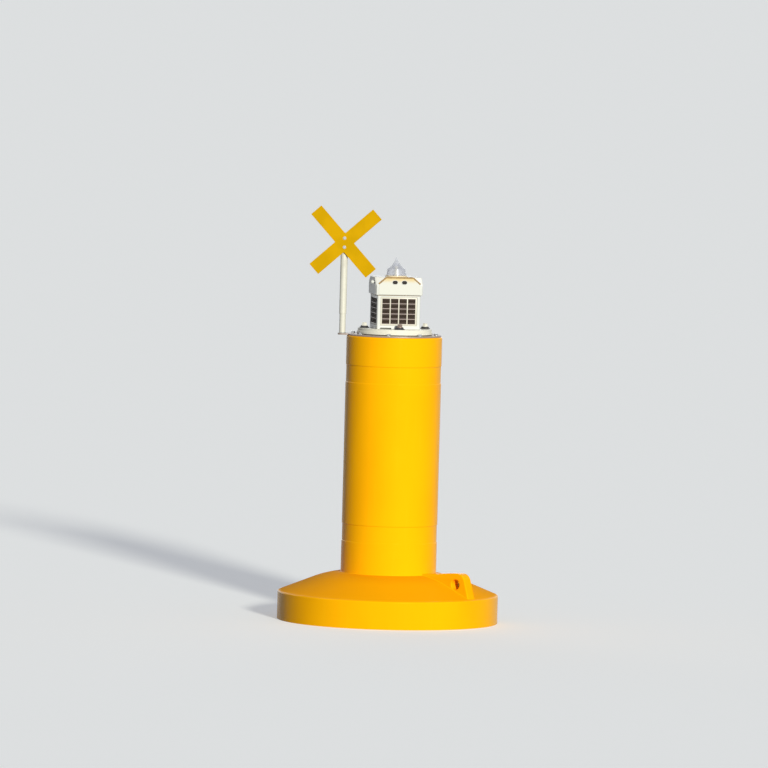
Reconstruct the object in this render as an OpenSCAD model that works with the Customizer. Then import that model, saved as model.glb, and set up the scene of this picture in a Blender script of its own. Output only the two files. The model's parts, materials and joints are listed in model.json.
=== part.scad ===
// Navigation buoy: a moulded float and tower, a solar lantern and a yellow cross topmark.
// The origin is on the buoy's axis at the waterline, +Z is up and the front faces -Y.
// All sizes are in millimetres.

/* [Float] */
// Diameter of the float
float_d = 1500; // [1300:10:1900]
// Height of the rim above the water
freeboard = 188; // [140:5:260]
// Depth of the straight side below the water
side_depth = 120; // [80:5:200]
// Depth of the flat bottom below the water
bottom_depth = 330; // [280:5:420]
// Diameter of the flat bottom
bottom_d = 640; // [600:10:800]
// Rounding of the rim
rim_r = 10; // [5:1:40]
// Rounding of the lower edge of the side
chine_r = 60; // [20:5:100]
// Slope of the outer deck in degrees
deck_slope = 22; // [16:0.5:26]
// Diameter at which the deck starts to flatten
crown_d = 1030; // [900:10:1200]
// Slope of the deck at the foot of the tower in degrees
seat_slope = 5; // [2:0.5:12]

/* [Lifting lug] */
// Direction of the lug around the float in degrees, from +X
lug_angle = -39; // [-80:1:80]
// Thickness of the lug
lug_t = 75; // [50:1:110]
// Height of the lug above the tower's seat, at the tower
lug_rise = 10; // [6:1:60]
// Height that the lug's top edge gains towards its outer end
lug_gain = 26; // [0:1:40]
// Length of the level outer part of the lug's top edge, with its rounded corner
lug_level = 78; // [75:1:160]
// Rounding where the lug's top edge turns level
lug_bend_r = 300; // [50:10:300]
// Distance of the lug's outer foot from the rim
lug_setback = 22; // [15:1:60]
// Slope of the lug's outer end in degrees
lug_end_slope = 73; // [60:1:85]
// Rounding of the lug's upper outer corner
lug_corner_r = 50; // [20:1:70]
// Diameter of the shackle hole
shackle_d = 68; // [40:1:80]
// Distance from the rim to the axis of the shackle hole
shackle_inset = 137; // [120:1:170]
// Height of the shackle hole's axis above the rim
shackle_rise = 101; // [90:1:110]

/* [Tower] */
// Diameter of the tower
tower_d = 650; // [560:5:760]
// Height of the tower above its seat
tower_h = 1610; // [1500:5:2400]
// Rounding of the tower's top edge
tower_top_r = 12; // [2:1:30]
// Height of each shallow band
band_h = 120; // [60:2:160]
// Depth of each shallow band
band_depth = 3; // [1:0.5:8]
// Height of the lower band above the seat
low_band_z = 213; // [120:1:400]
// Distance from the tower's top to the upper band
high_band_drop = 198; // [120:1:400]

/* [Top plate] */
// Diameter of the steel top plate
plate_d = 636; // [580:1:640]
// Thickness of the plate
plate_t = 10; // [6:1:16]
// Width of the plate's ear
ear_w = 110; // [80:2:160]
// Reach of the ear beyond the topmark pole's axis
ear_margin = 30; // [28:1:60]
// Diameter of the spacer under the lantern's base
spacer_d = 440; // [380:5:480]
// Thickness of the spacer
spacer_t = 4; // [3:1:25]

/* [Lantern base] */
// Diameter of the white base disc
base_d = 512; // [500:2:560]
// Thickness of the base's lower layer
base_low_t = 18; // [12:1:30]
// Thickness of the base's upper layer
base_top_t = 19; // [12:1:30]
// Width of the step between the two layers
base_step = 5; // [1:1:12]
// Turn of the lantern about the buoy's axis in degrees
lantern_turn = 9.6; // [-45:0.2:45]
// Distance of the hold-down pads from the axis
pad_offset = 209; // [195:1:212]
// Lower diameter of a hold-down pad
pad_d = 66; // [50:1:80]
// Upper diameter of a hold-down pad
pad_top_d = 46; // [24:1:50]
// Height of a hold-down pad
pad_h = 15; // [12:1:40]

/* [Lantern body] */
// Width of the body
body_w = 296; // [280:1:310]
// Height of the body
body_h = 230; // [222:1:300]
// Rounding of the body's upright edges
body_edge_r = 10; // [2:1:16]
// Width of a solar panel
panel_w = 250; // [232:1:256]
// Height of a solar panel
panel_h = 192; // [172:1:194]
// Thickness of a solar panel
panel_t = 4; // [2:0.5:6]
// Height of a panel's middle above the foot of the body
panel_mid = 121; // [112:1:122]
// Depth of a panel's face below the body's side
panel_sink = 2; // [0.5:0.5:5]
// Gap around a solar panel
panel_gap = 1; // [0.5:0.5:3]
// Columns of solar cells on a panel
cell_cols = 4; // [2:1:4]
// Rows of solar cells on a panel
cell_rows = 5; // [2:1:5]
// Distance from one column of cells to the next
col_pitch = 58.6; // [46:0.2:60]
// Distance from one row of cells to the next
row_pitch = 34.5; // [30:0.5:38]
// Gap between two columns of cells
col_gap = 11; // [3:0.5:20]
// Gap between two rows of cells
row_gap = 5; // [3:0.5:12]
// Thickness of a cell above the panel's face
cell_t = 0.5; // [0.2:0.1:0.5]
// Width of the drain slot in the front of the body
slot_w = 77; // [30:1:90]
// Height of the drain slot
slot_h = 9; // [4:1:11]
// Depth of the drain slot
slot_depth = 20; // [4:1:24]

/* [Lantern head] */
// Width of the head
head_w = 318; // [312:1:340]
// Height of the head
head_h = 121; // [115:1:160]
// Length of a corner facet along the head's top edges
facet_run = 66; // [40:1:90]
// Depth of a corner facet down the head's upright edges
facet_drop = 60; // [30:1:66]
// Rounding of the head's upright edges
head_edge_r = 8; // [2:1:14]
// Thickness of the raised panel on each side of the head
relief_t = 3; // [1:0.5:6]
// Distance from the head's edge to its raised panels
relief_inset = 17; // [12:1:40]
// Distance between the two ports
port_pitch = 64; // [50:1:80]
// Width of a port
port_w = 36; // [28:1:44]
// Height of a port
port_h = 25; // [16:1:27]
// Depth of a port
port_depth = 14; // [8:1:24]
// Height of the ports above the foot of the head
port_z = 87; // [60:1:92]
// Thickness of the dark plug in a port
plug_t = 4; // [2:1:6]
// Diameter of the knob on the head's side
knob_d = 26; // [16:1:30]
// Reach of the knob from the head's side
knob_reach = 26; // [18:1:40]
// Distance of the knob towards the front, from the middle of the side
knob_offset = 88; // [60:1:100]
// Depth of the knob's axis below the top of the head
knob_drop = 35; // [28:1:50]

/* [Lens] */
// Diameter of the collar under the lens
collar_d = 150; // [142:1:158]
// Height of the collar
collar_h = 8; // [4:1:16]
// Diameter of the lens at its foot
lens_foot_d = 138; // [126:1:142]
// Diameter of the lens at its shoulder
lens_d = 122; // [100:1:132]
// Height of the lens's shoulder
lens_wall_h = 46; // [36:1:80]
// Rounding of the lens's shoulder
lens_shoulder_r = 6; // [1:0.5:8]
// Height of the lens with its spike
lens_h = 126; // [114:1:180]
// Radius of the hollow sweep from the lens's shoulder to its spike
lens_sweep_r = 120; // [100:1:300]
// Diameter of the spike's tip
spike_d = 3; // [2:0.5:6]
// Length of the solid spike
spike_h = 20; // [14:1:26]
// Thickness of the lens's wall
lens_t = 4; // [2:0.5:6]
// Diameter of the light source's post
core_d = 24; // [16:1:40]
// Height of the light source
core_h = 62; // [40:1:64]

/* [Topmark] */
// Distance of the pole from the buoy's axis
pole_offset = 355; // [350:1:400]
// Outer diameter of the pole
pole_d = 48.3; // [45:0.1:52]
// Wall of the pole
pole_wall = 2.6; // [2:0.1:4]
// Height of the pole's lower end above the top plate
pole_foot = 130; // [60:1:200]
// Length of the pole
pole_l = 539; // [480:1:900]
// Length of the spigot inside the pole
spigot_hold = 200; // [120:5:300]
// Wall of the spigot
spigot_wall = 2.6; // [2:0.1:4]
// Gap between the spigot and the pole's bore
spigot_gap = 0.3; // [0.2:0.1:0.6]
// Length of each bar of the cross
bar_l = 568; // [480:2:640]
// Distance by which each bar's middle is above the crossing
bar_shift = 10; // [0:1:30]
// Width of each bar
bar_w = 91; // [70:1:110]
// Thickness of the cross plate
bar_t = 5; // [3:0.5:8]
// Turn of the cross from upright, clockwise from the front, in degrees
cross_turn = 3; // [-6:0.2:6]
// Distance from the pole's top down to the middle of the cross
cross_drop = 55; // [52:1:80]
// Width of the saddle between the pole and the cross
saddle_w = 44; // [30:1:48]
// Height of the saddle
saddle_h = 100; // [70:1:110]
// Thickness of the saddle in front of the pole
saddle_t = 8; // [4:1:14]
// Depth by which the saddle wraps the pole
saddle_wrap = 10; // [4:1:16]

/* [Tail] */
// Diameter of the keel plate under the float
keel_d = 560; // [480:5:600]
// Thickness of the keel plate
keel_t = 12; // [8:1:20]
// Outer diameter of the tail tube
tail_d = 219.1; // [160:0.1:240]
// Wall of the tail tube
tail_wall = 8; // [5:0.5:12]
// Length of the tail tube
tail_l = 600; // [450:5:900]
// Reach of a gusset from the tail tube
gusset_w = 130; // [80:2:135]
// Height of a gusset
gusset_h = 220; // [120:2:260]
// Thickness of a gusset
gusset_t = 10; // [6:1:16]
// Number of gussets
gussets = 4; // [3:1:8]
// Diameter of a ballast disc
ballast_d = 420; // [360:5:500]
// Thickness of a ballast disc
ballast_t = 45; // [30:1:50]
// Number of ballast discs
ballasts = 4; // [2:1:4]
// Rounding of a ballast disc's edges
ballast_edge_r = 8; // [2:1:12]
// Gap between ballast discs
ballast_gap = 0.3; // [0.2:0.1:0.8]
// Gap between the ballast discs and the tube
ballast_fit = 0.8; // [0.3:0.1:2]
// Diameter of the flange at the tail's lower end
flange_d = 320; // [260:5:400]
// Thickness of the flange
flange_t = 16; // [10:1:25]
// Diameter of the mooring hole
mooring_d = 60; // [40:1:80]
// Material around the mooring hole
mooring_rim = 45; // [30:1:60]
// Distance from the flange to the axis of the mooring hole
mooring_drop = 75; // [50:1:110]
// Thickness of the mooring eye
mooring_t = 30; // [20:1:45]

/* [Hidden] */
$fn = 128;

yellow = "#f5ac00";
mark_yellow = "#dfa90c";
white = "#ecebe2";
steel = "#b3b7b8";
cast = "#4a4743";

// Steps in each rounded corner of an outline
arc_steps = 8;
// Steps in a long curve
curve_steps = 16;
// Overlap that keeps a cut or a join clean
nick = 1;

float_r = float_d / 2;
crown_r = crown_d / 2;
tower_r = tower_d / 2;

// The deck is a cone outside and an arc inside it, tangent at the crown, up to the tower's foot
crown_arc_r = (crown_r - tower_r) / (sin(deck_slope) - sin(seat_slope));
crown_z = freeboard + (float_r - crown_r) * tan(deck_slope);
seat_z = crown_z + crown_arc_r * (cos(seat_slope) - cos(deck_slope));

tower_top = seat_z + tower_h;
plate_z = tower_top;
spacer_z = plate_z + plate_t;
base_z = spacer_z + spacer_t;
body_z = base_z + base_low_t + base_top_t;
head_z = body_z + body_h;
collar_z = head_z + head_h;
lens_z = collar_z + collar_h;
pole_z = spacer_z + pole_foot;
cross_z = pole_z + pole_l - cross_drop;
pole_bore_r = pole_d / 2 - pole_wall;
spigot_r = pole_bore_r - spigot_gap;
cross_y = -pole_d / 2 - saddle_t;
keel_z = -bottom_depth - keel_t;
tail_z = keel_z - tail_l;
flange_z = tail_z - flange_t;
mooring_z = flange_z - mooring_drop;
recess_w = panel_w + 2 * panel_gap;
recess_h = panel_h + 2 * panel_gap;
recess_depth = panel_t + panel_sink;

// Side of the lantern that each solar panel is on, in quarter turns from the front
FRONT = 0;
RIGHT = 1;
BACK = 2;
LEFT = 3;

function unit(v) = v / norm(v);

function arc(centre, r, from, to, steps) =
    [for (i = [0:steps]) let (a = from + (to - from) * i / steps) centre + r * [cos(a), sin(a)]];

// Points that round corner p between its neighbours a and b
function corner(a, p, b, r) =
    let (
        u = unit(a - p),
        v = unit(b - p),
        half = acos(u * v) / 2,
        centre = p + unit(u + v) * r / sin(half),
        first = p + u * r / tan(half) - centre,
        last = p + v * r / tan(half) - centre,
        start = atan2(first[1], first[0]),
        turn = atan2(last[1], last[0]) - start,
        sweep = turn > 180 ? turn - 360 : turn < -180 ? turn + 360 : turn
    )
    arc(centre, r, start, start + sweep, arc_steps);

// Outline from a table of [x, y, corner radius]
function rounded(table) =
    let (n = len(table), xy = [for (p = table) [p[0], p[1]]])
    [
        for (i = [0:n - 1])
            each table[i][2] == 0
                ? [xy[i]]
                : corner(xy[(i + n - 1) % n], xy[i], xy[(i + 1) % n], table[i][2])
    ];

// Rows of such a table for points that keep their corners
function sharp(points) = [for (p = points) [p[0], p[1], 0]];

// Arc of radius r that leaves p and ends at q, hollow towards its left
function sweep_between(p, q, r, steps) =
    let (
        mid = (p + q) / 2,
        d = q - p,
        rise = sqrt(r * r - d * d / 4),
        centre = mid + unit([d[1], -d[0]]) * rise,
        a = atan2(p[1] - centre[1], p[0] - centre[0]),
        b = atan2(q[1] - centre[1], q[0] - centre[0]),
        turn = b - a,
        sweep = turn > 180 ? turn - 360 : turn < -180 ? turn + 360 : turn
    )
    arc(centre, r, a, a + sweep, steps);

module tube(r, wall, h) {
    difference() {
        cylinder(r = r, h = h);
        translate([0, 0, -nick]) cylinder(r = r - wall, h = h + 2 * nick);
    }
}

module rounded_square(w, r) {
    square([w - 2 * r, w], center = true);
    square([w, w - 2 * r], center = true);
    for (x = [-1, 1], y = [-1, 1]) translate([x, y] * (w / 2 - r)) circle(r = r);
}

// Places a shape on the lantern, which is turned about the buoy's axis
module on_lantern(z, side = FRONT) {
    translate([0, 0, z]) rotate([0, 0, lantern_turn + 90 * side]) children();
}

module float_hull() {
    bottom_r = bottom_d / 2;
    side = [
        [0, -bottom_depth, 0],
        [bottom_r, -bottom_depth, 0],
        [float_r, -side_depth, chine_r],
        [float_r, freeboard, rim_r]
    ];
    crown_centre = [crown_r, crown_z] - crown_arc_r * [sin(deck_slope), cos(deck_slope)];
    crown = arc(crown_centre, crown_arc_r, 90 - deck_slope, 90 - seat_slope, curve_steps);
    outline = rounded(concat(side, sharp(crown), [[0, seat_z, 0]]));
    color(yellow) difference() {
        union() {
            rotate_extrude() polygon(outline);
            lifting_lug();
        }
        rotate([0, 0, lug_angle])
            translate([float_r - shackle_inset, 0, freeboard + shackle_rise])
                rotate([90, 0, 0]) cylinder(d = shackle_d, h = 2 * lug_t, center = true);
    }
}

module lifting_lug() {
    foot_r = float_r - lug_setback;
    foot_z = freeboard + lug_setback * tan(deck_slope);
    top_z = seat_z + lug_rise + lug_gain;
    end_r = foot_r - (top_z - foot_z) / tan(lug_end_slope);
    root_z = freeboard - lug_setback;
    side = [
        [tower_r - nick, root_z, 0],
        [foot_r, root_z, 0],
        [foot_r, foot_z, 0],
        [end_r, top_z, lug_corner_r],
        [end_r - lug_level, top_z, lug_bend_r],
        [tower_r - nick, seat_z + lug_rise, 0]
    ];
    rotate([0, 0, lug_angle]) rotate([90, 0, 0])
        linear_extrude(height = lug_t, center = true) polygon(rounded(side));
}

module tower() {
    band_feet = [low_band_z, tower_h - high_band_drop - band_h];
    bands = [
        for (z = band_feet)
            each [
                [tower_r, z, 0],
                [tower_r - band_depth, z, 0],
                [tower_r - band_depth, z + band_h, 0],
                [tower_r, z + band_h, 0]
            ]
    ];
    side = concat(
        [[0, 0, 0], [tower_r, 0, 0]],
        bands,
        [[tower_r, tower_h, tower_top_r], [0, tower_h, 0]]
    );
    color(yellow) translate([0, 0, seat_z]) rotate_extrude() polygon(rounded(side));
}

module top_plate() {
    ear_end = pole_offset + ear_margin;
    ear_r = ear_w / 4;
    color(steel) translate([0, 0, plate_z]) linear_extrude(height = plate_t) {
        circle(d = plate_d);
        translate([-ear_end + ear_r, -ear_w / 2]) square([ear_end - ear_r, ear_w]);
        translate([-ear_end, -ear_w / 2 + ear_r]) square([ear_end, ear_w - 2 * ear_r]);
        for (y = [-1, 1]) translate([-ear_end + ear_r, y * (ear_w / 2 - ear_r)]) circle(r = ear_r);
    }
}

module lantern_spacer() {
    color(cast) translate([0, 0, spacer_z]) cylinder(d = spacer_d, h = spacer_t);
}

module lantern_base() {
    edge = 3;
    base_r = base_d / 2;
    top = base_low_t + base_top_t;
    side = [
        [0, 0, 0],
        [base_r, 0, edge],
        [base_r, base_low_t, edge],
        [base_r - base_step, base_low_t, 0],
        [base_r - base_step, top, edge],
        [0, top, 0]
    ];
    color(white) translate([0, 0, base_z]) rotate_extrude() polygon(rounded(side));
}

module hold_down_pads() {
    color("#26262a") for (side = [FRONT:LEFT])
        on_lantern(body_z, side) translate([0, -pad_offset, 0])
            cylinder(d1 = pad_d, d2 = pad_top_d, h = pad_h);
}

module lantern_body() {
    color(white) on_lantern(body_z) difference() {
        linear_extrude(height = body_h) rounded_square(body_w, body_edge_r);
        for (side = [FRONT:LEFT]) rotate([0, 0, 90 * side])
            translate([-recess_w / 2, -body_w / 2 - nick, panel_mid - recess_h / 2])
                cube([recess_w, recess_depth + nick, recess_h]);
        translate([-recess_w / 2, -body_w / 2 - nick, -nick])
            cube([slot_w, slot_depth + nick, slot_h + nick]);
    }
}

module solar_panel(side) {
    cell = [col_pitch - col_gap, cell_t + nick, row_pitch - row_gap];
    color("#2b2320") on_lantern(body_z, side) translate([0, -body_w / 2 + panel_sink, panel_mid]) {
        translate([-panel_w / 2, 0, -panel_h / 2]) cube([panel_w, panel_t, panel_h]);
        for (col = [0:cell_cols - 1], row = [0:cell_rows - 1])
            translate([
                (col - (cell_cols - 1) / 2) * col_pitch - cell[0] / 2,
                -cell_t,
                (row - (cell_rows - 1) / 2) * row_pitch - cell[2] / 2
            ])
                cube(cell);
    }
}

module solar_panel_front() {
    solar_panel(FRONT);
}

module solar_panel_right() {
    solar_panel(RIGHT);
}

module solar_panel_back() {
    solar_panel(BACK);
}

module solar_panel_left() {
    solar_panel(LEFT);
}

// Outline of a raised panel on the head's side, cut off where the corner facets begin
module relief_outline() {
    half = head_w / 2 - relief_inset;
    shoulder = head_h - facet_drop * (1 - relief_inset / facet_run);
    polygon([
        [-half, 0],
        [half, 0],
        [half, shoulder],
        [head_w / 2 - facet_run, head_h],
        [-head_w / 2 + facet_run, head_h],
        [-half, shoulder]
    ]);
}

module port_outline() {
    square([port_w - port_h, port_h], center = true);
    for (x = [-1, 1]) translate([x * (port_w - port_h) / 2, 0]) circle(d = port_h);
}

module lantern_head() {
    // A facet's plane leaves the top at the middle of its edge and tilts down to the corner
    facet_middle = (head_w - facet_run) / sqrt(2);
    facet_tilt = atan(facet_drop / facet_run * sqrt(2));
    color(white) on_lantern(head_z) difference() {
        union() {
            linear_extrude(height = head_h) rounded_square(head_w, head_edge_r);
            for (side = [FRONT:LEFT]) rotate([0, 0, 90 * side])
                translate([0, -head_w / 2 + nick, 0]) rotate([90, 0, 0])
                    linear_extrude(height = relief_t + nick) relief_outline();
        }
        for (corner = [0:3]) rotate([0, 0, 45 + 90 * corner])
            translate([facet_middle, 0, head_h]) rotate([0, facet_tilt, 0])
                translate([-head_w / 2, -head_w / 2, 0]) cube(head_w);
        for (x = [-1, 1])
            translate([x * port_pitch / 2, -head_w / 2 - relief_t + port_depth, port_z])
                rotate([90, 0, 0]) linear_extrude(height = port_depth + nick) port_outline();
    }
}

module port_plugs() {
    color("#1d1512") on_lantern(head_z) for (x = [-1, 1])
        translate([x * port_pitch / 2, -head_w / 2 - relief_t + port_depth, port_z])
            rotate([90, 0, 0]) linear_extrude(height = plug_t) port_outline();
}

module side_knob() {
    knob_r = knob_d / 2;
    stem = knob_reach - knob_r;
    profile = [
        [0, 0, 0],
        [knob_r * 0.6, 0, 0],
        [knob_r * 0.6, stem * 0.6, 0],
        [knob_r, stem * 0.6, 2]
    ];
    dome = arc([0, stem], knob_r, 0, 90, curve_steps);
    color(white) on_lantern(collar_z - knob_drop, LEFT)
        translate([knob_offset, -head_w / 2 - relief_t, 0]) rotate([90, 0, 0])
            rotate_extrude() polygon(rounded(concat(profile, sharp(dome))));
}

module lens_collar() {
    edge = 3;
    collar_r = collar_d / 2;
    side = [[0, 0, 0], [collar_r, 0, 0], [collar_r, collar_h, edge], [0, collar_h, 0]];
    color("#efe6cf") translate([0, 0, collar_z]) rotate_extrude() polygon(rounded(side));
}

module lens() {
    shoulder = [lens_d / 2, lens_wall_h];
    tip = [spike_d / 2, lens_h];
    sweep = sweep_between(shoulder, tip, lens_sweep_r, curve_steps);
    outside = concat(
        [[0, 0, 0], [lens_foot_d / 2, 0, 0], [shoulder[0], shoulder[1], lens_shoulder_r]],
        [for (i = [1:curve_steps]) [sweep[i][0], sweep[i][1], 0]],
        [[0, lens_h, 0]]
    );
    // The hollow inside follows the wall and closes below the solid spike
    room = sweep_between(
        shoulder - [lens_t, lens_t],
        [0, lens_h - spike_h],
        lens_sweep_r,
        curve_steps
    );
    color("#cfdde6", 0.6) translate([0, 0, lens_z]) rotate_extrude()
        difference() {
            polygon(rounded(outside));
            polygon(concat([[0, -nick], [lens_foot_d / 2 - lens_t, -nick]], room));
        }
}

module light_source() {
    color("#f4f1e6") translate([0, 0, lens_z]) cylinder(d = core_d, h = core_h);
}

module topmark_spigot() {
    color(steel) translate([-pole_offset, 0, spacer_z])
        tube(spigot_r, spigot_wall, pole_foot + spigot_hold);
}

module topmark_pole() {
    color(steel) translate([-pole_offset, 0, pole_z]) tube(pole_d / 2, pole_wall, pole_l);
}

module topmark_saddle() {
    seat_gap = 0.2;
    depth = saddle_t + saddle_wrap;
    color(steel) difference() {
        translate([-pole_offset - saddle_w / 2, cross_y, cross_z - saddle_h / 2])
            cube([saddle_w, depth, saddle_h]);
        translate([-pole_offset, 0, cross_z - saddle_h])
            cylinder(r = pole_d / 2 + seat_gap, h = 2 * saddle_h);
    }
}

module topmark_cross() {
    color(mark_yellow) translate([-pole_offset, cross_y, cross_z]) rotate([90, 0, 0])
        linear_extrude(height = bar_t)
            for (a = [45, 135]) rotate([0, 0, a - cross_turn])
                translate([bar_shift, 0]) square([bar_l, bar_w], center = true);
}

module keel_plate() {
    color(steel) translate([0, 0, keel_z]) cylinder(d = keel_d, h = keel_t);
}

module tail_tube() {
    color(steel) translate([0, 0, tail_z]) tube(tail_d / 2, tail_wall, tail_l);
}

module keel_gussets() {
    toe = 20;
    side = [[0, 0], [gusset_w, 0], [gusset_w, -toe], [toe, -gusset_h], [0, -gusset_h]];
    color(steel) for (i = [0:gussets - 1]) rotate([0, 0, 45 + 360 * i / gussets])
        translate([tail_d / 2, 0, keel_z]) rotate([90, 0, 0])
            linear_extrude(height = gusset_t, center = true) polygon(side);
}

module ballast_discs() {
    bore_r = tail_d / 2 + ballast_fit;
    out_r = ballast_d / 2;
    side = [
        [bore_r, 0, 0],
        [out_r, 0, ballast_edge_r],
        [out_r, ballast_t, ballast_edge_r],
        [bore_r, ballast_t, 0]
    ];
    color(cast) for (i = [0:ballasts - 1])
        translate([0, 0, tail_z + ballast_gap + i * (ballast_t + ballast_gap)])
            rotate_extrude() polygon(rounded(side));
}

module tail_flange() {
    color(steel) translate([0, 0, flange_z]) cylinder(d = flange_d, h = flange_t);
}

module mooring_eye() {
    eye_r = mooring_d / 2 + mooring_rim;
    color(steel) translate([0, 0, mooring_z]) rotate([90, 0, 0])
        linear_extrude(height = mooring_t, center = true) difference() {
            union() {
                circle(r = eye_r);
                translate([-eye_r, 0]) square([2 * eye_r, mooring_drop]);
            }
            circle(d = mooring_d);
        }
}

float_hull();
tower();
top_plate();
lantern_spacer();
lantern_base();
hold_down_pads();
lantern_body();
solar_panel_front();
solar_panel_right();
solar_panel_back();
solar_panel_left();
lantern_head();
port_plugs();
side_knob();
lens_collar();
lens();
light_source();
topmark_spigot();
topmark_pole();
topmark_saddle();
topmark_cross();
keel_plate();
tail_tube();
keel_gussets();
ballast_discs();
tail_flange();
mooring_eye();
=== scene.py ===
import json
import math

import bmesh
import bpy
from mathutils import Matrix, Quaternion, Vector

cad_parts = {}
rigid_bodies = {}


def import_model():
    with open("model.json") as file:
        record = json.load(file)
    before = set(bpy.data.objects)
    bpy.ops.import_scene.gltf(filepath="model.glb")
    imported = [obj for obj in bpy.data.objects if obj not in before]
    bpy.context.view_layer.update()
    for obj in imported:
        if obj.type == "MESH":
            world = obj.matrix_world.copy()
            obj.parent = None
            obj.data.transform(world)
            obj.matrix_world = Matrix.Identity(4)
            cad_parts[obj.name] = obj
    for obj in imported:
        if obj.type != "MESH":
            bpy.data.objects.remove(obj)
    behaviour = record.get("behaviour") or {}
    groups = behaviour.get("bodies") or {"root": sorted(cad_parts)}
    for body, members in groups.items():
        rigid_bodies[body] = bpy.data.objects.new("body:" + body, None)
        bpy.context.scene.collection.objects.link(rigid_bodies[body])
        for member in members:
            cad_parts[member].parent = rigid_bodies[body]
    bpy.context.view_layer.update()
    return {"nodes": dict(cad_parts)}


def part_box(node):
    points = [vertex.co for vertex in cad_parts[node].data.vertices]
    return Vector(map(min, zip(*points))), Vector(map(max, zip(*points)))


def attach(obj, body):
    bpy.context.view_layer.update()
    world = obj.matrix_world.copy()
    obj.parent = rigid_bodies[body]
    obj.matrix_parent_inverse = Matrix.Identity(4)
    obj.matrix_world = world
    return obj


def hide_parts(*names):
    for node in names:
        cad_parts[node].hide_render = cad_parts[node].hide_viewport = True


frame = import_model()
print("frame loaded,", len(frame["nodes"]), "nodes")


# Node helpers, for materials and for shapes

class Wire:  # an output socket that can stand in a sum
    def __init__(self, graph, socket):
        self.graph = graph
        self.socket = socket

    def maths(self, operation, first, second):
        return self.graph.node("ShaderNodeMath", {"operation": operation}, {0: first, 1: second})

    def sibling(self, label):  # another output of the same node
        return Wire(self.graph, self.socket.node.outputs[label])

    def __add__(self, other):
        return self.maths("ADD", self, other)

    def __sub__(self, other):
        return self.maths("SUBTRACT", self, other)

    def __rsub__(self, other):
        return self.maths("SUBTRACT", other, self)

    def __mul__(self, other):
        return self.maths("MULTIPLY", self, other)

    def __truediv__(self, other):
        return self.maths("DIVIDE", self, other)

    __radd__ = __add__
    __rmul__ = __mul__


class Graph:  # a node tree of either kind
    def __init__(self, tree):
        self.tree = tree

    def node(self, kind, settings=None, sockets=None, out=None):  # gives the named output, or the first in use
        made = self.tree.nodes.new(kind)
        for name, value in (settings or {}).items():
            setattr(made, name, value)
        for name, value in (sockets or {}).items():
            wires = [w for w in (value if isinstance(value, list) else [value]) if isinstance(w, Wire)]
            for wire in reversed(wires):
                self.tree.links.new(wire.socket, made.inputs[name])
            if not wires:
                made.inputs[name].default_value = value
        used = made.outputs[out] if out else next((o for o in made.outputs if o.enabled), None)
        return Wire(self, used)


class Finish(Graph):  # a material, with the nodes that most finishes share
    def __init__(self, name):
        self.material = bpy.data.materials.new(name)
        self.material.use_nodes = True
        super().__init__(self.material.node_tree)
        self.tree.nodes.clear()
        self.place = self.node("ShaderNodeTexCoord", out="Object")
        self.height = self.node("ShaderNodeSeparateXYZ", sockets={0: self.place}, out="Z")

    def noise(self, scale, detail=2.0, seed=0.0, flat=1):  # flat below 1 draws the pattern out upwards
        spot = self.node("ShaderNodeMapping", sockets={"Vector": self.place, "Scale": (1, 1, flat)})
        sockets = {"Vector": spot, "W": seed, "Scale": scale, "Detail": detail}
        return self.node("ShaderNodeTexNoise", {"noise_dimensions": "4D"}, sockets)

    def step(self, value, low, high, first=0.0, last=1.0):  # a smooth step from first to last
        sockets = {"Value": value, "From Min": low, "From Max": high, "To Min": first, "To Max": last}
        return self.node("ShaderNodeMapRange", {"interpolation_type": "SMOOTHSTEP"}, sockets)

    def mix(self, factor, first, second):
        return self.node("ShaderNodeMix", {"data_type": "RGBA"}, {0: factor, 6: first, 7: second})

    def bump(self, height, distance, strength, below=None):
        sockets = {"Height": height, "Distance": distance, "Strength": strength}
        if below:
            sockets["Normal"] = below
        return self.node("ShaderNodeBump", sockets=sockets)

    def principled(self, colour, roughness, bump=None, others=None):
        sockets = {"Base Color": colour, "Roughness": roughness, **(others or {})}
        if bump:
            sockets["Normal"] = bump
        shader = self.node("ShaderNodeBsdfPrincipled", sockets=sockets)
        self.node("ShaderNodeOutputMaterial", sockets={"Surface": shader})
        return self.material


def tint(code):  # "rrggbb" as the linear colour that Blender works with
    parts = [int(code[i:i + 2], 16) / 255 for i in (0, 2, 4)]
    return tuple(c / 12.92 if c <= 0.04045 else ((c + 0.055) / 1.055) ** 2.4 for c in parts) + (1,)


# Finishes

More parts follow.
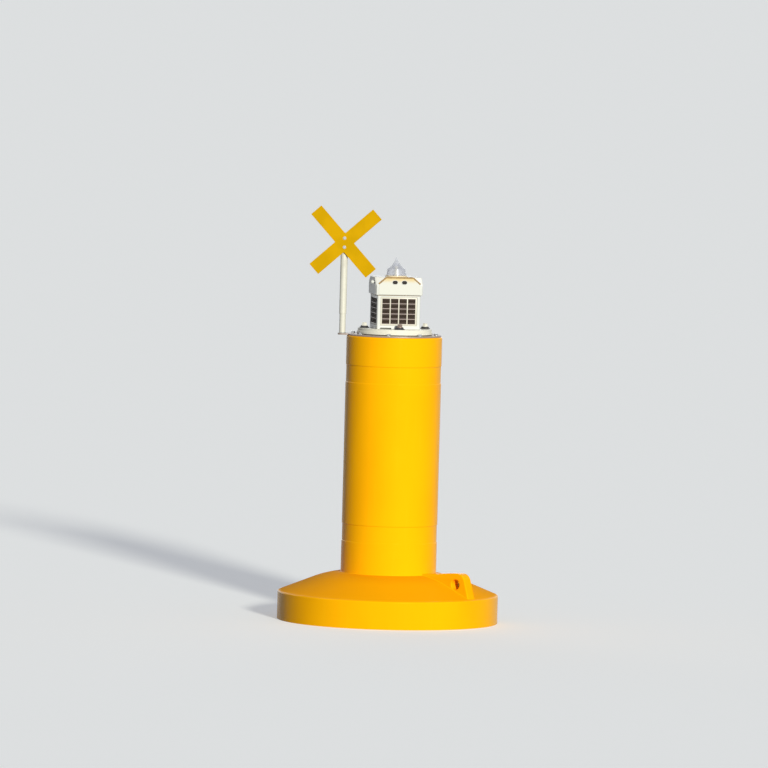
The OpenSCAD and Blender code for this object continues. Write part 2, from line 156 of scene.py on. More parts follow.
def mouldedYellow():
    look = {  # the bands are heights above the water
        "colour": (0.95, 0.44, 0.002, 1), "deep": (0.94, 0.40, 0.0015, 1), "faded": (0.95, 0.48, 0.006, 1),
        "deckShade": (0.94, 0.39, 0.0015, 1), "slime": tint("a08420"), "sheen": (1, 0.8, 0.08, 1), "shine": 0.05,
        "waterBand": (-0.03, 0.006), "deckFootBand": (0.186, 0.2), "deckTopBand": (0.322, 0.336),
        "roughness": 0.24, "peelSize": 260, "waveSize": 7,
    }
    f = Finish("mouldedYellow")
    patches = f.step(f.noise(3.2, 4, 1.0, 0.6), 0.35, 0.7)
    colour = f.mix(patches * 0.6, look["colour"], look["deep"])
    streaks = f.step(f.noise(38, 3, 5.0, 0.05), 0.56, 0.78)
    colour = f.mix(streaks * 0.25, colour, look["faded"])
    # the deck band is tinted more orange: painted shade of the deck, which the low light reaches only at a slant
    deck = f.step(f.height, *look["deckFootBand"]) * f.step(f.height, *look["deckTopBand"], 1.0, 0.0)
    colour = f.mix(deck * 0.9, colour, look["deckShade"])
    ragged = f.height + (f.noise(14, 4, 2.0) - 0.5) * 0.03
    wet = f.step(ragged, *look["waterBand"], 1.0, 0.0)
    growth = f.step(f.noise(30, 5, 8.0, 0.7), 0.3, 0.7, 0.35, 0.8)
    colour = f.mix(wet * growth, colour, look["slime"])
    roughness = f.noise(22, 3, 3.0) * 0.08 + (look["roughness"] - 0.04) + wet * 0.15 + deck * 0.56
    waves = f.bump(f.noise(look["waveSize"], 1, 4.0, 0.7), 0.004, 0.35)
    peel = f.bump(f.noise(look["peelSize"], 2, 6.0), 0.0003, 0.35, waves)
    return f.principled(colour, roughness, peel, {
        "Specular IOR Level": look["shine"], "Specular Tint": look["sheen"]})


def paintedYellow():
    look = {
        "colour": (0.50, 0.28, 0.002, 1), "light": (0.56, 0.31, 0.0025, 1), "dull": (0.46, 0.26, 0.0035, 1),
        "sheen": (1, 0.8, 0.05, 1), "shine": 0.08, "roughness": 0.42,
    }
    f = Finish("paintedYellow")
    colour = f.mix(f.step(f.noise(7, 2, 11.0), 0.4, 0.65), look["colour"], look["light"])
    colour = f.mix(f.step(f.noise(24, 4, 12.0, 0.3), 0.55, 0.8, 0, 0.5), colour, look["dull"])
    roughness = f.noise(40, 2, 13.0) * 0.14 + (look["roughness"] - 0.07)
    return f.principled(colour, roughness, f.bump(f.noise(50), 0.0003, 0.2), {
        "Specular IOR Level": look["shine"], "Specular Tint": look["sheen"]})


def plasticSkin(f, colour, seed):  # satin, with a fine grain
    roughness = f.noise(60, 2, seed + 2) * 0.1 + 0.28
    grain = f.bump(f.noise(500, 2, seed + 3), 0.00003, 0.3)
    return f.principled(colour, roughness, grain, {"Specular IOR Level": 0.12})


def whitePlastic(name, code, dirtCode, dirt, seed):
    f = Finish(name)
    runs = f.step(f.noise(34, 4, seed, 0.12), 0.5, 0.85)
    specks = f.step(f.noise(150, 3, seed + 1), 0.66, 0.78)
    return plasticSkin(f, f.mix((runs + specks * 0.5) * dirt, tint(code), tint(dirtCode)), seed)


def agedWhite(name, code, glowCode, low, high, seed):  # a painted yellowish glow, from one height up to another
    f = Finish(name)
    ragged = f.height + (f.noise(30, 3, seed + 4) - 0.5) * 0.016
    return plasticSkin(f, f.mix(f.step(ragged, low, high) * 0.8, tint(code), tint(glowCode)), seed)


def zincCoated(name, code, darkCode, metallic, seed, shine=0.5):
    f = Finish(name)
    spangle = f.node("ShaderNodeTexVoronoi", sockets={"Vector": f.place, "Scale": 140}, out="Color")
    flake = f.node("ShaderNodeSeparateColor", sockets={0: spangle}, out="Red")
    stain = f.step(f.noise(16, 5, seed, 0.5), 0.45, 0.75)
    colour = f.mix(flake * 0.35, tint(code), tint(darkCode))
    colour = f.mix(stain * 0.35, colour, tint("8d8274"))
    roughness = 0.36 + flake * 0.12 + stain * 0.2
    return f.principled(colour, roughness, f.bump(f.noise(220, 3, seed + 1), 0.0002, 0.4), {
        "Metallic": metallic - stain * metallic * 0.5, "Specular IOR Level": shine})


def bareSteel(name, code, stainAndReflectionCode, stainAndReflection):
    f = Finish(name)
    brushed = f.noise(900, 2, 31.0, 0.1)
    # tea staining on the bolts; where it covers nearly all, as on the front nut, it is a painted dark reflection
    stain = f.step(f.noise(90, 3, 32.0), 0.75 - stainAndReflection / 2, 1 - stainAndReflection / 2)
    colour = f.mix(stain * 0.6, tint(code), tint(stainAndReflectionCode))
    roughness = brushed * 0.14 + 0.16 + stain * 0.2
    return f.principled(colour, roughness, f.bump(brushed, 0.00005, 0.5), {"Metallic": 1.0})


def darkMatte(name, code, seed):
    f = Finish(name)
    bloom = f.step(f.noise(45, 4, seed), 0.5, 0.8)
    colour = f.mix(bloom * 0.35, tint(code), tint("5b5a5c"))
    roughness = f.noise(120, 2, seed + 1) * 0.2 + 0.5
    return f.principled(colour, roughness, f.bump(f.noise(600, 2, seed + 2), 0.0002, 0.5))


def castIron():
    f = Finish("castIron")
    rust = f.step(f.noise(26, 6, 41.0), 0.5, 0.72)
    pits = f.noise(240, 4, 42.0)
    colour = f.mix(rust * 0.7, tint("2d2b2a"), tint("6e3a1d"))
    return f.principled(colour, pits * 0.2 + 0.6 + rust * 0.1, f.bump(pits, 0.0008, 0.6))


def siliconCell():
    look = {
        "cell": (0.032, 0.022, 0.016, 1), "sheen": (0.026, 0.021, 0.024, 1), "finger": tint("3e332d"),
        "fingerPitch": 0.0021, "fingerEdge": (0.84, 0.9),
    }
    f = Finish("siliconCell")
    across = f.node("ShaderNodeUVMap", {"uv_map": "panel"})
    u = f.node("ShaderNodeSeparateXYZ", sockets={0: across}, out="X")
    saw = f.node("ShaderNodeMath", {"operation": "FRACT"}, {0: u / look["fingerPitch"]})
    crystal = f.step(f.noise(60, 3, 51.0), 0.4, 0.7)
    colour = f.mix(crystal * 0.5, look["cell"], look["sheen"])
    colour = f.mix(f.step(saw, *look["fingerEdge"]) * 0.5, colour, look["finger"])
    return f.principled(colour, crystal * 0.08 + 0.32, None, {
        "Specular IOR Level": 0.0, "Coat Weight": 0.08, "Coat Roughness": 0.2})


# near-black, dusty plugs deep in the port holes: painted shade of the holes' inside
def portWindow():
    f = Finish("portWindow")
    dust = f.step(f.noise(130, 3, 57.0), 0.5, 0.8)
    colour = f.mix(dust * 0.3, (0.008, 0.004, 0.003, 1), (0.05, 0.03, 0.022, 1))
    return f.principled(colour, dust * 0.3 + 0.25, None, {"Specular IOR Level": 0.2})


def clearLens():  # thin clear plastic: denser towards its outline, a little milky
    f = Finish("clearLens")
    haze = f.step(f.noise(40, 4, 61.0), 0.4, 0.75)
    facing = f.node("ShaderNodeLayerWeight", sockets={"Blend": 0.35}, out="Facing")
    colour = f.mix(haze * 0.5, (0.46, 0.48, 0.58, 1), (0.38, 0.40, 0.49, 1))
    return f.principled(colour, haze * 0.06 + 0.16, None, {
        "Specular IOR Level": 0.8, "Alpha": facing * 0.4 + 0.14 + haze * 0.04})


# the tan finish of the beads at the lantern head: painted shade lines
def sealant():
    f = Finish("sealant")
    stain = f.noise(80, 4, 71.0)
    colour = f.mix(f.step(stain, 0.3, 0.7), tint("a98850"), tint("7d5f38"))
    return f.principled(colour, stain * 0.2 + 0.45, f.bump(f.noise(300, 2, 72.0), 0.0004, 0.5))


finishes = {
    "float": mouldedYellow(),
    "mark": paintedYellow(),
    "lantern": whitePlastic("lanternWhite", "d0d1cd", "b0ab9b", 0.2, 81.0),
    # the corner facets' whiter colour is a painted highlight
    "facet": whitePlastic("facetWhite", "f4f4ee", "c8c4b6", 0.1, 82.0),
    "base": whitePlastic("baseWhite", "d7d5c8", "b8b3a4", 0.1, 84.0),
    "collar": whitePlastic("collarCream", "d5c5a6", "a98f68", 0.3, 85.0),
    "backing": whitePlastic("panelBacking", "cbc7ba", "a89f90", 0.15, 89.0),
    "tape": whitePlastic("cellTape", "a0928e", "7c6f6c", 0.3, 91.0),
    "emitter": whitePlastic("emitterWhite", "d8d7d0", "bab8ae", 0.1, 93.0),
    "zinc": zincCoated("galvanised", "a9aaa9", "8d8f91", 0.55, 21.0),
    "plate": zincCoated("galvanisedPlate", "9c8c84", "7d6d69", 0.25, 23.0),
    "pole": zincCoated("galvanisedPole", "d4d2c6", "c0beb6", 0.05, 25.0, 0.05),
    "nut": zincCoated("galvanisedNut", "d8d5cb", "c4c2ba", 0.05, 27.0, 0.15),
    "bolt": bareSteel("stainlessSteel", "c8cacc", "a08c70", 0.3),
    "darkReflection": bareSteel("stainedSteel", "b9a99c", "6d5a4e", 0.9),
    "pad": darkMatte("padRubber", "2b292c", 34.0),
    "gasket": darkMatte("gasketRubber", "3a322d", 37.0),
    "iron": castIron(),
    "cell": siliconCell(),
    "busbar": zincCoated("busbarTin", "5e4e48", "4c3f39", 0.2, 54.0, 0.2),
    "port": portWindow(),
    "shade": darkMatte("slotShade", "34321c", 59.0),
    "lens": clearLens(),
    "sealant": sealant(),
}
print("finishes made:", len(finishes))


# Shape helpers

def added(name, data):
    thing = bpy.data.objects.new(name, data)
    bpy.context.scene.collection.objects.link(thing)
    return thing


def applied(thing):  # replaces the live modifiers by the mesh that they make
    graph = bpy.context.evaluated_depsgraph_get()
    made = bpy.data.meshes.new_from_object(thing.evaluated_get(graph))
    thing.modifiers.clear()
    thing.data = made
    return thing


def modified(thing, kind, **settings):
    step = thing.modifiers.new(kind, kind)
    for name, value in settings.items():
        setattr(step, name, value)
    return applied(thing)


def boolean(thing, operation, tools):
    for tool in tools:
        modified(thing, "BOOLEAN", operation=operation, solver="EXACT", material_mode="TRANSFER", object=tool)
        bpy.data.objects.remove(tool)
    return thing


def solid(name, bm, finish, place=Matrix()):
    bmesh.ops.recalc_face_normals(bm, faces=bm.faces)
    mesh = bpy.data.meshes.new(name)
    bm.to_mesh(mesh)
    bm.free()
    mesh.transform(place)
    mesh.materials.append(finishes[finish])
    return added(name, mesh)


def moved(x, y, z):
    return Matrix.Translation((x, y, z))


def spun(angle):  # about the upright axis
    return Matrix.Rotation(angle, 4, "Z")


upright = Matrix(((1, 0, 0, 0), (0, 0, -1, 0), (0, 1, 0, 0), (0, 0, 0, 1)))  # turns a flat outline to the front


def rounded(corners, steps=8):  # an outline from (x, y) or (x, y, radius)
    points = []
    for i, corner in enumerate(corners):
        here = Vector(corner[:2])
        if len(corner) < 3:
            points.append(here)
            continue
        before = (Vector(corners[i - 1][:2]) - here).normalized()
        after = (Vector(corners[(i + 1) % len(corners)][:2]) - here).normalized()
        half = before.angle(after) / 2
        centre = here + (before + after).normalized() * corner[2] / math.sin(half)
        first = here + before * corner[2] / math.tan(half) - centre
        last = here + after * corner[2] / math.tan(half) - centre
        turn = math.atan2(first.x * last.y - first.y * last.x, first.dot(last))
        points += [centre + Matrix.Rotation(turn * k / steps, 2) @ first for k in range(steps + 1)]
    return points


def arc(radius, first, last, steps, x=0.0, y=0.0):  # points round (x, y), from one angle to another
    angles = [first + (last - first) * k / steps for k in range(steps + 1)]
    return [Vector((x + radius * math.cos(a), y + radius * math.sin(a))) for a in angles]


def circle(radius, steps, x=0.0, y=0.0, way=1):  # way is -1 for a hole
    return arc(radius, 0.0, way * 2 * math.pi, steps, x, y)[:-1]


def inset(points, amount):  # moves an outline towards the material, at mitred corners
    inner = []
    for i, here in enumerate(points):
        before = (here - points[i - 1]).normalized()
        after = (points[(i + 1) % len(points)] - here).normalized()
        mitre = Vector((-before.y - after.y, before.x + after.x))
        inner.append(here + mitre * amount * 2 / max(mitre.length_squared, 0.5))
    return inner


def joinRings(bm, rings):  # a wall of quads from each ring of points to the next
    for low, high in zip(rings, rings[1:]):
        for i in range(len(low)):
            bm.faces.new((low[i - 1], low[i], high[i], high[i - 1]))


def slab(name, loops, depth, finish, place=Matrix(), steps=4):
    # A plate with rounded edges, from (points, edge) pairs: the outline anticlockwise, then a hole clockwise
    bm = bmesh.new()
    rims = {1: [], -1: []}
    for points, edge in loops:
        angles = [math.pi / 2 * k / steps for k in range(steps + 1)]
        levels = [(edge * (1 - math.cos(a)), depth / 2 - edge + edge * math.sin(a)) for a in angles]
        levels = [(i, -z) for i, z in reversed(levels)] + levels
        rings = [[bm.verts.new((*p, z)) for p in inset(points, amount)] for amount, z in levels]
        joinRings(bm, rings)
        rims[-1].append(rings[0])
        rims[1].append(rings[-1])
    for end, rings in rims.items():
        if len(rings) == 1:
            bm.faces.new(rings[0])
            continue
        edges = [bm.edges.get((ring[i - 1], ring[i])) for ring in rings for i in range(len(ring))]
        bmesh.ops.triangle_fill(bm, edges=edges, use_beauty=True, normal=(0, 0, end))
    return solid(name, bm, finish, place)


def lineMesh(name, points, closed):  # edges from each point to the next
    edges = [(i, i + 1) for i in range(len(points) - 1)] + ([(len(points) - 1, 0)] if closed else [])
    mesh = bpy.data.meshes.new(name)
    mesh.from_pydata(points, edges, [])
    return mesh


class Shape(Graph):  # a geometry tree with named inputs
    def __init__(self, name, inputs):
        super().__init__(bpy.data.node_groups.new(name, "GeometryNodeTree"))
        face = self.tree.interface
        for way in ("INPUT", "OUTPUT"):
            face.new_socket("Geometry", in_out=way, socket_type="NodeSocketGeometry")
        kinds = {int: "NodeSocketInt", float: "NodeSocketFloat"}
        self.ids = {}
        for label, value in inputs.items():
            kind = kinds.get(type(value), "NodeSocketMaterial")
            socket = face.new_socket(label, in_out="INPUT", socket_type=kind)
            socket.default_value = value
            self.ids[label] = socket.identifier
        self.start = self.tree.nodes.new("NodeGroupInput")

    def given(self, label):
        return Wire(self, self.start.outputs[label])

    def end(self, geometry, material=None):
        geometry = self.node("GeometryNodeRealizeInstances", sockets={"Geometry": geometry})
        if material:
            geometry = self.node("GeometryNodeSetMaterial", sockets={"Geometry": geometry, "Material": material})
        self.node("NodeGroupOutput", sockets={"Geometry": geometry})
        return self

    def grown(self, name, seedMesh, values, place=Matrix()):  # runs the tree and keeps a plain mesh
        holder = added(name, seedMesh)
        modifier = holder.modifiers.new(self.tree.name, "NODES")
        modifier.node_group = self.tree
        for label, value in values.items():
            modifier[self.ids[label]] = value
        applied(holder).data.transform(place)
        return holder


def makeTurnedShape():
    # The profile goes round a circle of 1 m: its X runs outwards from there and its Y runs down
    s = Shape("turnedShape", {"Steps": 160, "Finish": finishes["float"]})
    profile = s.node("GeometryNodeMeshToCurve", sockets={"Mesh": s.given("Geometry")})
    ring = s.node("GeometryNodeCurvePrimitiveCircle", sockets={"Resolution": s.given("Steps"), "Radius": 1.0})
    skin = s.node("GeometryNodeCurveToMesh", sockets={"Curve": ring, "Profile Curve": profile})
    skin = s.node("GeometryNodeMergeByDistance", sockets={"Geometry": skin, "Distance": 0.00002})
    return s.end(skin, s.given("Finish"))


def makeFastenerShape():
    s = Shape("fastenerShape", {
        "Flats": 0.02, "Head Height": 0.01, "Washer Width": 0.03, "Washer Thickness": 0.002,
        "Stud Width": 0.01, "Stud Reach": 0.0, "Seed": 1, "Finish": finishes["bolt"],
    })

    def disc(sides, radius, height, foot, taper, chamfer):
        body = s.node("GeometryNodeMeshCylinder", sockets={"Vertices": sides, "Radius": radius, "Depth": height})
        body = s.node("GeometryNodeExtrudeMesh", {"mode": "FACES"}, {
            "Mesh": body, "Selection": body.sibling("Top"), "Offset Scale": chamfer, "Individual": False})
        body = s.node("GeometryNodeScaleElements", {"domain": "FACE"}, {
            "Geometry": body, "Selection": body.sibling("Top"), "Scale": taper})
        rise = s.node("ShaderNodeCombineXYZ", sockets={"Z": foot + height / 2})
        return s.node("GeometryNodeTransform", sockets={"Geometry": body, "Translation": rise})

    washer, head = s.given("Washer Thickness"), s.given("Head Height")
    reach = s.given("Stud Reach") + 0.0001
    bolt = s.node("GeometryNodeJoinGeometry", sockets={"Geometry": [
        disc(32, s.given("Washer Width") * 0.5, washer * 0.7, 0, 0.96, washer * 0.3),
        disc(6, s.given("Flats") / math.sqrt(3), head * 0.85, washer, 0.86, head * 0.15),
        disc(16, s.given("Stud Width") * 0.5, reach, washer + head * 0.9, 0.8, reach * 0.15),
    ]})
    facing = s.node("GeometryNodeInputNamedAttribute", {"data_type": "FLOAT_VECTOR"}, {"Name": "facing"})
    standing = s.node("FunctionNodeAlignRotationToVector", {"axis": "Z"}, {"Vector": facing})
    spin = s.node("FunctionNodeRandomValue", sockets={"Min": 0.0, "Max": math.pi / 3, "Seed": s.given("Seed")})
    turn = s.node("FunctionNodeEulerToRotation", sockets={0: s.node("ShaderNodeCombineXYZ", sockets={"Z": spin})})
    posed = s.node("FunctionNodeRotateRotation", {"rotation_space": "LOCAL"}, {0: standing, 1: turn})
    points = s.node("GeometryNodeMeshToPoints", sockets={0: s.given("Geometry")})
    placed = s.node("GeometryNodeInstanceOnPoints", sockets={"Points": points, "Instance": bolt, "Rotation": posed})
    return s.end(placed, s.given("Finish"))


def makeBeadShape():
    s = Shape("beadShape", {
        "Radius": 0.003, "Pitch": 0.004, "Wobble": 0.15, "Seed": 1, "Finish": finishes["sealant"]})
    path = s.node("GeometryNodeMeshToCurve", sockets={"Mesh": s.given("Geometry")})
    path = s.node("GeometryNodeResampleCurve", {"mode": "LENGTH"}, {"Curve": path, "Length": s.given("Pitch")})
    ragged = s.node("FunctionNodeRandomValue", sockets={"Min": -1.0, "Max": 1.0, "Seed": s.given("Seed")})
    thickness = s.given("Radius") * (1 + ragged * s.given("Wobble"))
    path = s.node("GeometryNodeSetCurveRadius", sockets={"Curve": path, "Radius": thickness})
    ring = s.node("GeometryNodeCurvePrimitiveCircle", sockets={"Resolution": 10, "Radius": 1.0})
    skin = s.node("GeometryNodeCurveToMesh", sockets={
        "Curve": path, "Profile Curve": ring, "Fill Caps": True, "Scale": s.node("GeometryNodeInputRadius")})
    return s.end(skin, s.given("Finish"))


turnedShape = makeTurnedShape()
fastenerShape = makeFastenerShape()
beadShape = makeBeadShape()


def turned(name, corners, finish, curve=4, steps=160, closed=False, place=Matrix()):
    # Turns a profile of (radius, height) or (radius, height, rounding) about the upright axis
    seed = lineMesh(name, [(p.x - 1, -p.y, 0) for p in rounded(corners, curve)], closed)
    made = turnedShape.grown(name, seed, {"Steps": steps, "Finish": finishes[finish]}, place)
    bm = bmesh.new()
    bm.from_mesh(made.data)
    bmesh.ops.remove_doubles(bm, verts=bm.verts, dist=0.00001)
    bmesh.ops.recalc_face_normals(bm, faces=bm.faces)
    bm.to_mesh(made.data)
    bm.free()
    return made


def fasteners(name, spots, sizes, finish="bolt"):  # spots are (place, facing) pairs
    seed = bpy.data.meshes.new(name)
    seed.from_pydata([p for p, _ in spots], [], [])
    facing = seed.attributes.new("facing", "FLOAT_VECTOR", "POINT")
    facing.data.foreach_set("vector", [c for _, d in spots for c in d])
    return fastenerShape.grown(name, seed, {**sizes, "Finish": finishes[finish]})


def ringSpots(radius, count, z, facing=(0, 0, 1), first=0.0):  # spots on a circle, from the front towards +X
    angles = [first + 2 * math.pi * k / count for k in range(count)]
    return [((radius * math.sin(a), -radius * math.cos(a), z), facing) for a in angles]


def bead(name, outline, place, sizes, finish="sealant", closed=True):  # runs along a flat outline
    seed = lineMesh(name, [place @ Vector((*p, 0)) for p in outline], closed)
    return beadShape.grown(name, seed, {**sizes, "Finish": finishes[finish]})


def piece(name, parts, slot, *replaced, angle=35, weighted=True):
    # Joins the parts, shades them and hands the piece over to the frame
    whole = parts[0]
    if len(parts) > 1:
        with bpy.context.temp_override(active_object=whole, selected_editable_objects=parts):
            bpy.ops.object.join()
    whole.name = name
    whole.data.name = name
    whole.data.polygons.foreach_set("use_smooth", [True] * len(whole.data.polygons))
    whole.data.set_sharp_from_angle(angle=math.radians(angle))
    if weighted:
        modified(whole, "WEIGHTED_NORMAL", keep_sharp=True)
    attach(whole, "root")
    if replaced:
        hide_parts(*replaced)


# Float with its lifting lug

floatSizes = {
    "freeboard": 0.188, "deckSlope": math.radians(22), "crownRadius": 0.515, "seatSlope": math.radians(5),
    "sideDepth": 0.12, "bottomRadius": 0.32, "rimRounding": 0.010, "chineRounding": 0.06, "bottomRounding": 0.03,
    "coneRun": 0.19, "coneSteps": 4, "crownSteps": 14, "steps": 240,
}
lugSizes = {
    "angle": math.radians(-39), "thickness": 0.075, "rise": 0.010, "gain": 0.026, "setback": 0.022,
    "endSlope": math.radians(73), "cornerRounding": 0.062, "level": 0.078, "levelRounding": 0.3, "edge": 0.009,
    "holeEdge": 0.006, "holeRadius": 0.034, "holeInset": 0.137, "holeRise": 0.101, "root": 0.14, "buried": 0.02,
    "fillet": 0.005, "filletBuried": 0.015, "filletSink": 0.0004, "filletRoot": 0.006, "filletSteps": 14,
}
floatLow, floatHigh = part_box("float_hull")
towerLow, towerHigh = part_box("tower")
floatRadius, towerRadius = floatHigh.x, towerHigh.x


def deckHeight(r):  # a cone at the outside, then one arc up to the tower
    f = floatSizes
    slope, crown = f["deckSlope"], f["crownRadius"]
    cone = f["freeboard"] + (floatRadius - max(r, crown)) * math.tan(slope)
    if r >= crown:
        return cone
    radius = (crown - towerRadius) / (math.sin(slope) - math.sin(f["seatSlope"]))
    along = max(r, towerRadius) - crown + radius * math.sin(slope)
    return cone - radius * math.cos(slope) + math.sqrt(radius ** 2 - along ** 2)


deckTop = deckHeight(towerRadius)
lugEnd = floatRadius - lugSizes["setback"]


def floatBody():
    f = floatSizes
    crown, straight, curved = f["crownRadius"], f["coneSteps"], f["crownSteps"]
    deck = [crown + f["coneRun"] * (straight - k) / straight for k in range(straight + 1)]
    deck += [crown + (towerRadius - crown) * k / curved for k in range(1, curved + 1)]
    corners = [(0, floatLow.z), (f["bottomRadius"], floatLow.z, f["bottomRounding"]),
               (floatRadius, -f["sideDepth"], f["chineRounding"]), (floatRadius, f["freeboard"], f["rimRounding"])]
    return turned("float", corners + [(r, deckHeight(r)) for r in deck] + [(0, deckTop)], "float", 10, f["steps"])


def lugBody(place):
    g = lugSizes
    inner, foot, top = towerRadius - g["buried"], deckHeight(lugEnd), deckTop + g["rise"] + g["gain"]
    topEnd = lugEnd - (top - foot) / math.tan(g["endSlope"])
    outline = rounded([
        (inner, g["root"]), (lugEnd, g["root"]), (lugEnd, foot), (topEnd, top, g["cornerRounding"]),
        (topEnd - g["level"], top, g["levelRounding"]), (inner, deckTop + g["rise"]),
    ], 10)
    hole = circle(g["holeRadius"], 40, floatRadius - g["holeInset"], floatSizes["freeboard"] + g["holeRise"], -1)
    return slab("lug", [(outline, g["edge"]), (hole, g["holeEdge"])], g["thickness"], "float", place @ upright, 5)


def lugFillet(place):  # a ring of weld round the lug's foot, hollow between the lug's wall and the deck
    g = lugSizes
    half, corner, run, sink = g["thickness"] / 2, g["edge"], g["fillet"], g["filletSink"]
    inner, straight = towerRadius - g["filletBuried"], g["filletSteps"]
    side = [inner + (lugEnd - corner - inner) * k / straight for k in range(straight + 1)]
    plan = [(Vector((x, -half)), Vector((0, -1))) for x in side]
    bend = zip(arc(corner, -math.pi / 2, 0, 6, lugEnd - corner, corner - half), arc(1, -math.pi / 2, 0, 6))
    plan += list(bend)[1:]
    plan += [(Vector((p.x, -p.y)), Vector((n.x, -n.y))) for p, n in reversed(plan)]
    lean = math.tan(math.pi / 2 - g["endSlope"])
    down = Vector((0, 0, g["filletRoot"]))
    bm = bmesh.new()
    rings = []
    for p, n in plan:
        out = Vector((*n, 0))
        foot = Vector((*p, deckHeight(p.x)))
        wall = foot + Vector((-lean * n.x * run, 0, run)) - out * sink
        deck = foot + out * run
        deck.z = deckHeight(deck.x) - sink
        curve = [wall.lerp(foot, s).lerp(foot.lerp(deck, s), s) for s in (k / 6 for k in range(7))]
        curve += [deck - down, foot - out * g["filletRoot"] - down, wall - out * g["filletRoot"]]
        rings.append([bm.verts.new(v) for v in curve])
    joinRings(bm, rings)
    bm.faces.new(rings[0])
    bm.faces.new(rings[-1])
    return solid("lugFillet", bm, "float", place)


lugPlace = spun(lugSizes["angle"])
floatWhole = boolean(floatBody(), "UNION", [lugBody(lugPlace), lugFillet(lugPlace)])
piece("floatShell", [floatWhole], "moulded_yellow", "float_hull", angle=30)
print("float made")


# Tower

towerSizes = {
    "bandHeight": 0.12, "bandDepth": 0.003, "lowBand": 0.213, "highBandDrop": 0.198, "bandEase": 0.004,
    "topRounding": 0.012, "footFillet": 0.006, "footReach": 0.012, "footSink": 0.004, "lipSink": 0.0003,
    "steps": 200,
}


def tower():
    t = towerSizes
    foot, top, r, ease = towerLow.z, towerHigh.z, towerRadius, t["bandEase"]
    reach, inner = r + t["footReach"], r - t["bandDepth"]
    corners = [(0, foot), (reach, foot - t["footSink"]), (reach, deckHeight(reach) - t["lipSink"]),
               (r, foot, t["footFillet"])]
    for low in (foot + t["lowBand"], top - t["highBandDrop"] - t["bandHeight"]):
        high = low + t["bandHeight"]
        corners += [(r, low, ease), (inner, low + ease, ease), (inner, high - ease, ease), (r, high, ease)]
    return turned("tower", corners + [(r, top, t["topRounding"]), (0, top)], "float", 6, t["steps"])


piece("towerShell", [tower()], "moulded_yellow", "tower")
print("tower made")


# Top plate, its bolts and the lantern's spacer

plateSizes = {
    "radius": 0.318, "earHalf": 0.055, "earEnd": 0.385, "earRounding": 0.0275, "edge": 0.0015, "steps": 150,
    "boltRadius": 0.285, "bolts": 8, "firstBolt": math.radians(-98), "spacerBulge": 0.0012,
}
plateBoltSizes = {"Flats": 0.024, "Head Height": 0.011, "Washer Width": 0.034, "Washer Thickness": 0.0025,
                  "Stud Width": 0.012, "Seed": 3}
plateLow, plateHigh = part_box("top_plate")
spacerLow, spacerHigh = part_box("lantern_spacer")


def topPlate():
    p = plateSizes
    cut = math.asin(p["earHalf"] / p["radius"])
    ear = [(-p["earEnd"], y, p["earRounding"]) for y in (p["earHalf"], -p["earHalf"])]
    outline = rounded(arc(p["radius"], cut - math.pi, math.pi - cut, p["steps"]) + ear)
    return slab("plate", [(outline, p["edge"])], plateHigh.z - plateLow.z, "plate",
                moved(0, 0, (plateLow.z + plateHigh.z) / 2), 2)


def spacerGasket():
    r, low, high = spacerHigh.x, spacerLow.z, spacerHigh.z
    flat = r - plateSizes["spacerBulge"]
    middle = (low + high) / 2
    return turned("gasket", [(0, low), (flat, low), (r, middle, 0.001), (flat, high), (0, high)], "gasket")


piece("topPlate", [topPlate()], "galvanised_steel", "top_plate")
plateSpots = ringSpots(plateSizes["boltRadius"], plateSizes["bolts"], plateHigh.z, first=plateSizes["firstBolt"])
piece("plateBolts", [fasteners("plateBolts", plateSpots, plateBoltSizes)], "galvanised_steel", weighted=False)
piece("spacerGasket", [spacerGasket()], "spacer_rubber", "lantern_spacer")
print("top plate made")


# Lantern base and hold-downs

lanternTurn = math.radians(9.6)
baseSizes = {"lowThickness": 0.018, "step": 0.005, "edge": 0.003, "stepRounding": 0.001, "seatRadius": 0.19}
padSizes = {
    "offset": 0.209, "height": 0.015,
    "profile": [(0, 0), (0.033, 0, 0.001), (0.033, 0.004, 0.0015), (0.0285, 0.0055, 0.001), (0.025, 0.012, 0.001),
                (0.023, 0.015, 0.001), (0, 0.015)],
}
nutSizes = {"Flats": 0.032, "Head Height": 0.018, "Washer Width": 0.046, "Washer Thickness": 0.003,
            "Stud Width": 0.016, "Stud Reach": 0.003, "Seed": 5}
baseLow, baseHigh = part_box("lantern_base")
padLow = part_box("hold_down_pads")[0]


def lanternBase():
    b = baseSizes
    r, low, high = baseHigh.x, baseLow.z, baseHigh.z
    middle, inner = low + b["lowThickness"], r - b["step"]
    return turned("base", [
        (0, low), (r, low, b["edge"]), (r, middle, b["edge"]), (inner, middle, b["stepRounding"]),
        (inner, high, b["edge"]), (b["seatRadius"], high), (0, high)], "base", 5, 200)


piece("lanternBase", [lanternBase()], "lantern_white", "lantern_base")
padPlaces = [spun(lanternTurn + math.pi / 2 * k) @ moved(0, -padSizes["offset"], padLow.z) for k in range(4)]
pads = [turned("pad", padSizes["profile"], "pad", steps=48, place=m) for m in padPlaces]
piece("holdDownPads", pads, "pad_rubber", "hold_down_pads")
nutSpots = [(m @ Vector((0, 0, padSizes["height"])), (0, 0, 1)) for m in padPlaces]
# the front nut's dark brown finish is a painted dark reflection
piece("holdDownNuts", [fasteners("frontNut", nutSpots[:1], nutSizes, "darkReflection"),
                       fasteners("sideNuts", nutSpots[1:], nutSizes, "nut")], "galvanised_steel", weighted=False)


# Lantern body with its solar panels

